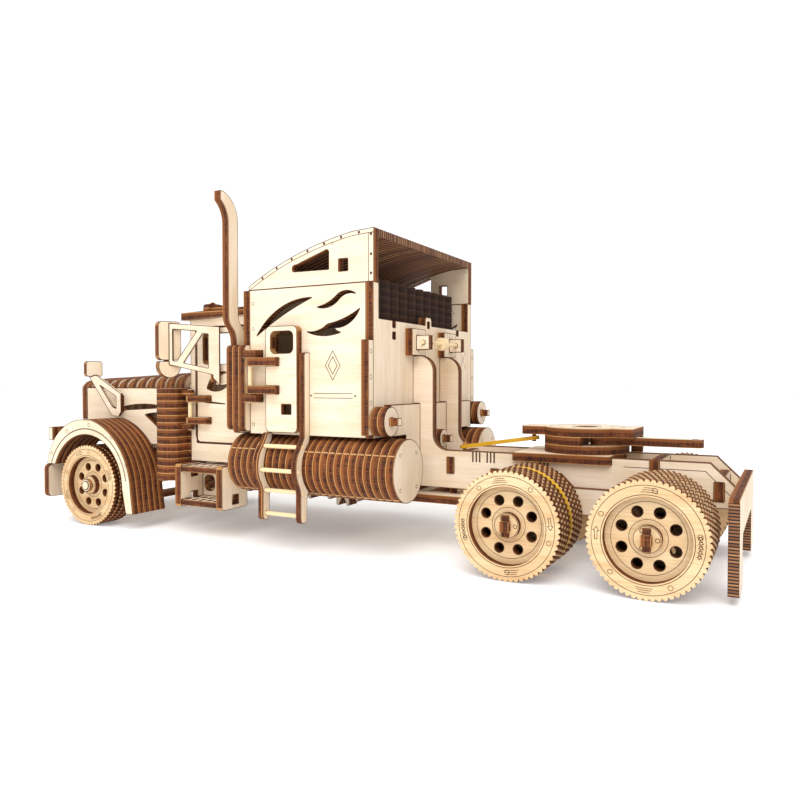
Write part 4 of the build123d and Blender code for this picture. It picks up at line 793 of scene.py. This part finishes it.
def wheel(node, layers, turned):
    """Builds a wheel from its sheets: toothed rings, pierced discs and a boss."""
    look = bpy.context.scene.truck_tyre
    sheet = bpy.context.scene.truck_plywood.sheet
    low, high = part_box(node)
    centre = ((low.x + high.x) / 2, look.radius)
    outer = max(abs(low.y), abs(high.y))
    inner = outer - layers * sheet
    place = lengthwise(1.0 if high.y > 0 else -1.0)
    mesh = bmesh.new()
    for i in range(layers):
        top = outer - i * sheet
        if node in TWIN_WHEELS and i == GROOVE_LAYER:
            outline = circle(centre, look.groove, 120)
        else:
            outline = tread_ring(centre, 0.5 * (i % 2))
        opening = circle(centre, look.rim, 96)
        prism(mesh, [outline, opening], place, top - sheet + SHEET_GAP, top - SHEET_GAP, (0, 1))
    disc_top = outer - sheet
    for top in (disc_top, inner + sheet):
        loops = [circle(centre, look.rim + 0.01 * MM, 96)] + hub_holes(centre)
        prism(mesh, loops, place, top - sheet + SHEET_GAP, top - SHEET_GAP, (0, 1))
    if node in TWIN_WHEELS:
        corners = ((-1, -1), (1, -1), (1, 1), (-1, 1))
        bore = [(centre[0] + u * AXLE_HALF, centre[1] + v * AXLE_HALF) for u, v in corners]
    else:
        bore = circle(centre, STUB_BORE, 32)
    boss_top = outer - BOSS_SUNK
    boss = [circle(centre, BOSS_RADIUS, 48), bore]
    prism(mesh, boss, place, inner - BOSS_BEHIND, boss_top, (0, 1))
    tyre_marks(mesh, centre, place, outer, turned)
    hub_marks(mesh, centre, place, disc_top, boss_top)
    finishes = [face_of("y", "wheel"), edge_of("y", outer % sheet), small_finish("laser_score")]
    piece(f"{node}_layers", mesh, body_of_node(node), finishes, replaced=(node,))


class TRUCK_OT_wheels(bpy.types.Operator):
    """Builds the wheels from toothed layers"""

    bl_idname = "truck.wheels"
    bl_label = "Build the wheels"

    def execute(self, context):
        # Each wheel stands at its own angle, as wheels do after rolling.
        for node, turned in zip(TWIN_WHEELS, (0.05, 2.1, 3.0, 0.8)):
            wheel(node, TWIN_LAYERS, turned)
        for node, turned in zip(FRONT_WHEELS, (1.2, 4.0)):
            wheel(node, FRONT_LAYERS, turned)
        return {"FINISHED"}


class TRUCK_OT_rungs(bpy.types.Operator):
    """Shows the ladder rungs and hinge pins as pale turned sticks"""

    bl_idname = "truck.rungs"
    bl_label = "Rungs and pins"

    def execute(self, context):
        rungs = bmesh.new()
        for side in (-1, 1):
            for y, z in mm((63.9, 52.5), (66.9, 41.0), (63.5, 30.5), (63.0, 19.0)):
                outline = circle((side * y, z), STICK_RADIUS, 16)
                prism(rungs, [outline], crosswise, -1.8 * MM, 24.8 * MM)
        piece("ladder_rungs", rungs, "chassis", [small_finish("birch_stick")])
        pins = bmesh.new()
        for side in (-1, 1):
            for x, y, low, high in ((32.5, 61.5, 73.6, 100.4), (85.5, 49.3, 57.4, 80.0)):
                outline = circle((x * MM, side * y * MM), STICK_RADIUS, 16)
                prism(pins, [outline], level, low * MM, high * MM)
        piece("hinge_pins", pins, "chassis", [small_finish("birch_stick")])
        return {"FINISHED"}


# ---- engraving ---------------------------------------------------------------------------------
def roof_line(drop, count=14):
    """The crown of the sleeper roof as points in x and z, dropped by a distance."""
    points = []
    for arc in ROOF_ARCS:
        for i in range(count):
            t = i / count
            shares = ((1 - t) * (1 - 2 * t), 4 * t * (1 - t), t * (2 * t - 1))
            points.append([sum(s * point[k] for s, point in zip(shares, arc)) for k in (0, 1)])
    points += [ROOF_ARCS[-1][-1], ROOF_TAIL]
    return mm(*((x, z - drop) for x, z in points))


def head(mesh, centre, radius, place, height):
    """A dowel's head: a thin ring, or a dark dot where it is tiny."""
    if radius < 0.7 * MM:
        prism(mesh, [circle(centre, radius, 12)], place, height, height + LINE_LIFT)
    else:
        ring(mesh, centre, radius, 0.22 * MM, place, height, 16)


def draw_gable(mesh, place, height):
    """The gable: a line under the crown, a row of dots along it, and the rear post."""
    ribbon(mesh, roof_line(2.1), 0.32 * MM, place, height)
    line = roof_line(1.1)
    travelled = 0.0
    for a, b in zip(line, line[1:]):
        way = (Vector(b) - Vector(a)).length
        if travelled + way >= DOT_STEP:
            at = Vector(a).lerp(Vector(b), (DOT_STEP - travelled) / way)
            head(mesh, tuple(at), 0.68 * MM, place, height)
            travelled = travelled + way - DOT_STEP
        else:
            travelled += way
    ribbon(mesh, mm((-34.9, 131), (-34.9, 153.2)), 0.32 * MM, place, height)
    for at in mm((-36.3, 152.6), (-36.3, 143.4), (-36.3, 134.6)):
        head(mesh, at, 0.68 * MM, place, height)
    ring(mesh, (-15.0 * MM, 150.2 * MM), 0.6 * MM, 0.2 * MM, place, height, 12)


def draw_rail(mesh, place, height):
    """The side rail: a line round its tail, three groups of strokes, and dowel heads."""
    tail = mm((-143, 46.4), (-176.6, 46.4), (-186.4, 36.6), (-186.4, 32.6))
    ribbon(mesh, tail, 0.3 * MM, place, height)
    for middle, low, high in ((-106.6, 40.4, 46.6), (-80.0, 45.0, 49.8), (-72.5, 45.0, 49.8)):
        for x in (middle - 1.8, middle, middle + 1.8):
            ribbon(mesh, mm((x, low), (x, high)), 0.8 * MM, place, height)
    for x in (-178.0, -160.0, -118.0, -98.0, -70.0):
        head(mesh, (x * MM, 33.4 * MM), 0.8 * MM, place, height)


def draw_sleeper(mesh, place, height):
    """The sleeper's side: a double diamond over two lines, and dowel heads at the front."""
    x, z = -15.0, 92.0
    for reach in (7.0, 4.2):
        wide = reach * 0.6
        diamond = mm((x + wide, z), (x, z + reach), (x - wide, z), (x, z - reach))
        ribbon(mesh, diamond, 0.35 * MM, place, height, True)
    for z in (78.6, 76.4):
        ribbon(mesh, mm((-26, z), (-4, z)), 0.3 * MM, place, height)
    for at in mm((-27.6, 77.5), (-2.4, 77.5)):
        head(mesh, at, 0.5 * MM, place, height)
    for at in mm((33.4, 124.0), (33.4, 111.0), (33.4, 80.0), (33.4, 62.5)):
        head(mesh, at, 0.8 * MM, place, height)


def draw_fender(mesh, place, height):
    """The front fender: an arc inside its rim, and dowel heads along it."""
    centre = FRONT_AXLE
    angles = [math.radians(18 + 154 * i / 24) for i in range(25)]
    arc = [polar(centre, 33.2 * MM, angle) for angle in angles]
    ribbon(mesh, arc, 0.6 * MM, place, height)
    for degrees in (30, 62, 94, 126, 158):
        at = polar(centre, 35.6 * MM, math.radians(degrees))
        head(mesh, at, 0.9 * MM, place, height)


def draw_door_edge_and_shade(mesh, place, height):
    """A dark strip on the cab side along the door's rear and lower gap: it stands in for the door's
    burnt edge, and paints the gap's shade.
    """
    seam = mm((84.2, 113.4), (84.2, 54.6), (83.4, 51.9), (81.0, 50.3), (50.0, 50.3))
    ribbon(mesh, seam, 0.8 * MM, place, height)


def draw_pegs(mesh):
    """Each tank's discs are pegged together, and the pegs show as dashes along it."""
    for side in (-1, 1):
        for degrees in (32, -58):
            y, z = polar(TANK_AXIS, 15.0 * MM, math.radians(degrees))
            outline = circle((side * y, z), 0.34 * MM, 8)
            for i in range(24):
                x = -51.5 + 4.0 * i
                if x <= -2.5 or 25 <= x <= 44:  # not behind the ladder
                    prism(mesh, [outline], crosswise, (x + 0.6) * MM, (x + 3.6) * MM)


def draw_rear(mesh):
    """The sleeper's rear wall with its corner strips, and the rear ends of the tanks."""
    for side in (-1, 1):
        seam = mm((side * 58.0, 59.5), (side * 58.0, 103.5))
        ribbon(mesh, seam, 0.4 * MM, behind, REAR_WALL)
        for z in (98.4, 86.4, 74.4):
            head(mesh, (side * 60.2 * MM, z * MM), 1.0 * MM, behind, REAR_WALL)
        for degrees in (45, 135, 225, 315):
            centre = (side * TANK_AXIS[0], TANK_AXIS[1])
            at = polar(centre, 11.4 * MM, math.radians(degrees))
            head(mesh, at, 0.8 * MM, behind, TANK_END)
    for k in (-1, 1):
        cross = mm((-46 - 4 * k, 102), (-46 + 4 * k, 92))
        ribbon(mesh, cross, 0.3 * MM, behind, REAR_WALL)


def draw_top(mesh):
    """The turntable's rings and dowel heads, and the dowel heads in the cab's roof."""
    for radius, count in ((17.4, 64), (6.6, 32)):
        ring(mesh, TURNTABLE, radius * MM, 0.25 * MM, level, TABLE_TOP, count)
    for i in range(6):
        at = polar(TURNTABLE, 12 * MM, math.radians(60 * i + 15))
        head(mesh, at, 0.9 * MM, level, TABLE_TOP)
    for y in (-24.0, 24.0):
        for x in (42.0, 66.0, 90.0):
            roof = 122.5 + 1.9 * (93 - x) / 53.5  # the roof rises to the rear
            head(mesh, (x * MM, y * MM), 0.8 * MM, level, roof * MM)


def draw_bumper(mesh):
    """The bumper: a line, dowel heads, and a ring round each lamp."""
    for y in (-54.0, -20.0, 20.0, 54.0):
        head(mesh, (y * MM, 30.6 * MM), 0.9 * MM, crosswise, BUMPER_FACE)
    ribbon(mesh, mm((-60, 17), (60, 17)), 0.3 * MM, crosswise, BUMPER_FACE)
    for at in mm((46, 24.2), (-46, 24.2)):
        ring(mesh, at, 5.6 * MM, 0.3 * MM, crosswise, BUMPER_FACE, 32)


# What is drawn on both outer sides, and how far out each face is.
SIDE_DRAWINGS = (
    ("roof_engraving", draw_gable, 58.0 * MM),
    ("rail_engraving", draw_rail, 18.0 * MM),
    ("sleeper_engraving", draw_sleeper, 58.0 * MM),
    ("fender_engraving", draw_fender, 62.3 * MM),
    # The door's strip stands in for the door's burnt edge and paints its gap's shade, in the score
    # finish.
    ("door_edge_and_shade", draw_door_edge_and_shade, 46.0 * MM),
)
OTHER_DRAWINGS = (
    ("tank_pegs", draw_pegs, "tan_peg"),
    ("rear_engraving", draw_rear, "laser_score"),
    ("top_engraving", draw_top, "laser_score"),
    ("bumper_engraving", draw_bumper, "laser_score"),
)


class TRUCK_OT_engraving(bpy.types.Operator):
    """Draws the laser's score lines, dots and dowel heads on the faces, and the strip of painted
    shade and burnt edge round each cab door
    """

    bl_idname = "truck.engraving"
    bl_label = "Engrave the plates"

    def execute(self, context):
        for name, draw, face in SIDE_DRAWINGS:
            mesh = bmesh.new()
            for side in (1.0, -1.0):
                draw(mesh, lengthwise(side), face)
            piece(name, mesh, "chassis", [small_finish("laser_score")])
        for name, draw, finish in OTHER_DRAWINGS:
            mesh = bmesh.new()
            draw(mesh)
            piece(name, mesh, "chassis", [small_finish(finish)])
        return {"FINISHED"}


# ---- stage -------------------------------------------------------------------------------------
def studio_object(name, data, place, aim):
    """Adds a camera or a lamp that looks along a direction."""
    made = bpy.data.objects.new(name, data)
    bpy.context.scene.collection.objects.link(made)
    made.location = place
    made.rotation_mode = "QUATERNION"
    made.rotation_quaternion = aim.to_track_quat("-Z", "Y")
    return made


class TRUCK_OT_stage(bpy.types.Operator):
    """Sets the pale floor, the soft studio light and the camera"""

    bl_idname = "truck.stage"
    bl_label = "Set the stage"

    def execute(self, context):
        studio = context.scene.truck_studio
        camera = bpy.data.cameras.new("studio_camera")
        camera.lens = studio.lens
        camera.clip_end = 60.0
        way = Vector((0.47425, -0.88003, -0.02541))
        eye = studio_object("studio_camera", camera, (-0.20810, 0.34852, 0.08433), way)
        context.scene.camera = eye

        lamps = (
            ("key", (-0.35, 0.85, 0.95), 0.9, studio.key),
            ("front", (0.9, 0.5, 0.7), 0.9, studio.key * 0.2),
            ("top", (0.0, -0.1, 1.3), 1.2, studio.key * 0.3),
        )
        for name, place, size, power in lamps:
            lamp = bpy.data.lights.new(f"studio_{name}", "AREA")
            lamp.size = size
            lamp.energy = power
            aim = Vector((0.0, 0.0, 0.06)) - Vector(place)
            studio_object(f"studio_{name}", lamp, place, aim)

        # White matt paper, lit a little from within so that it fades into the wall behind it.
        material, tree = blank("white_sweep")
        paper = add(
            tree,
            "ShaderNodeBsdfPrincipled",
            {
                "Base Color": linear("#FCFCFB"),
                "Roughness": 0.9,
                "Specular IOR Level": 0.1,
                "Emission Color": linear("#FFFFFF"),
                "Emission Strength": 0.22,
            },
        )
        add(tree, "ShaderNodeOutputMaterial", {"Surface": paper.outputs[0]})
        mesh = bmesh.new()
        reach, below = 12.0, -0.05 * MM
        corners = ((-reach, -reach), (reach, -reach), (reach, reach), (-reach, reach))
        mesh.faces.new([mesh.verts.new((x, y, below)) for x, y in corners])
        data = bpy.data.meshes.new("studio_floor")
        mesh.to_mesh(data)
        mesh.free()
        data.materials.append(material)
        floor = bpy.data.objects.new("studio_floor", data)
        context.scene.collection.objects.link(floor)

        world = bpy.data.worlds.new("white_room")
        context.scene.world = world
        world.use_nodes = True
        # The wall that the eye sees is pure white, and the light that it gives is a little less.
        tree = world.node_tree
        tree.nodes.clear()
        seen = add(tree, "ShaderNodeLightPath").outputs["Is Camera Ray"]
        values = {"Value": seen, "To Min": studio.fill, "To Max": 1.05}
        strength = add(tree, "ShaderNodeMapRange", values).outputs[0]
        white = {"Color": linear("#FFFFFF"), "Strength": strength}
        back = add(tree, "ShaderNodeBackground", white)
        add(tree, "ShaderNodeOutputWorld", {"Surface": back.outputs[0]})
        context.scene.view_settings.view_transform = "Standard"
        return {"FINISHED"}


class TRUCK_PT_panel(bpy.types.Panel):
    """Lists the steps that finish the truck"""

    bl_label = "Truck"
    bl_idname = "TRUCK_PT_panel"
    bl_space_type = "VIEW_3D"
    bl_region_type = "UI"
    bl_category = "Truck"

    def draw(self, context):
        for settings in (
            context.scene.truck_plywood,
            context.scene.truck_tyre,
            context.scene.truck_studio,
        ):
            box = self.layout.box()
            for name in settings.__annotations__:
                box.prop(settings, name)
        for operator in OPERATORS:
            self.layout.operator(operator.bl_idname)


OPERATORS = (
    TRUCK_OT_plates,
    TRUCK_OT_small_parts,
    TRUCK_OT_roof,
    TRUCK_OT_wheels,
    TRUCK_OT_rungs,
    TRUCK_OT_engraving,
    TRUCK_OT_stage,
)
GROUPS = {
    "truck_plywood": TRUCK_PG_plywood,
    "truck_tyre": TRUCK_PG_tyre,
    "truck_studio": TRUCK_PG_studio,
}


def register():
    """Registers the settings, the operators and the panel."""
    for name, group in GROUPS.items():
        bpy.utils.register_class(group)
        setattr(bpy.types.Scene, name, PointerProperty(type=group))
    for cls in OPERATORS + (TRUCK_PT_panel,):
        bpy.utils.register_class(cls)


def unregister():
    """Takes everything out again."""
    for cls in reversed(OPERATORS + (TRUCK_PT_panel,)):
        bpy.utils.unregister_class(cls)
    for name, group in reversed(GROUPS.items()):
        delattr(bpy.types.Scene, name)
        bpy.utils.unregister_class(group)


def main():
    """Runs every step in order."""
    register()
    bpy.ops.truck.plates()
    bpy.ops.truck.small_parts()
    bpy.ops.truck.roof()
    bpy.ops.truck.wheels()
    bpy.ops.truck.rungs()
    bpy.ops.truck.engraving()
    bpy.ops.truck.stage()


if __name__ == "__main__":
    main()
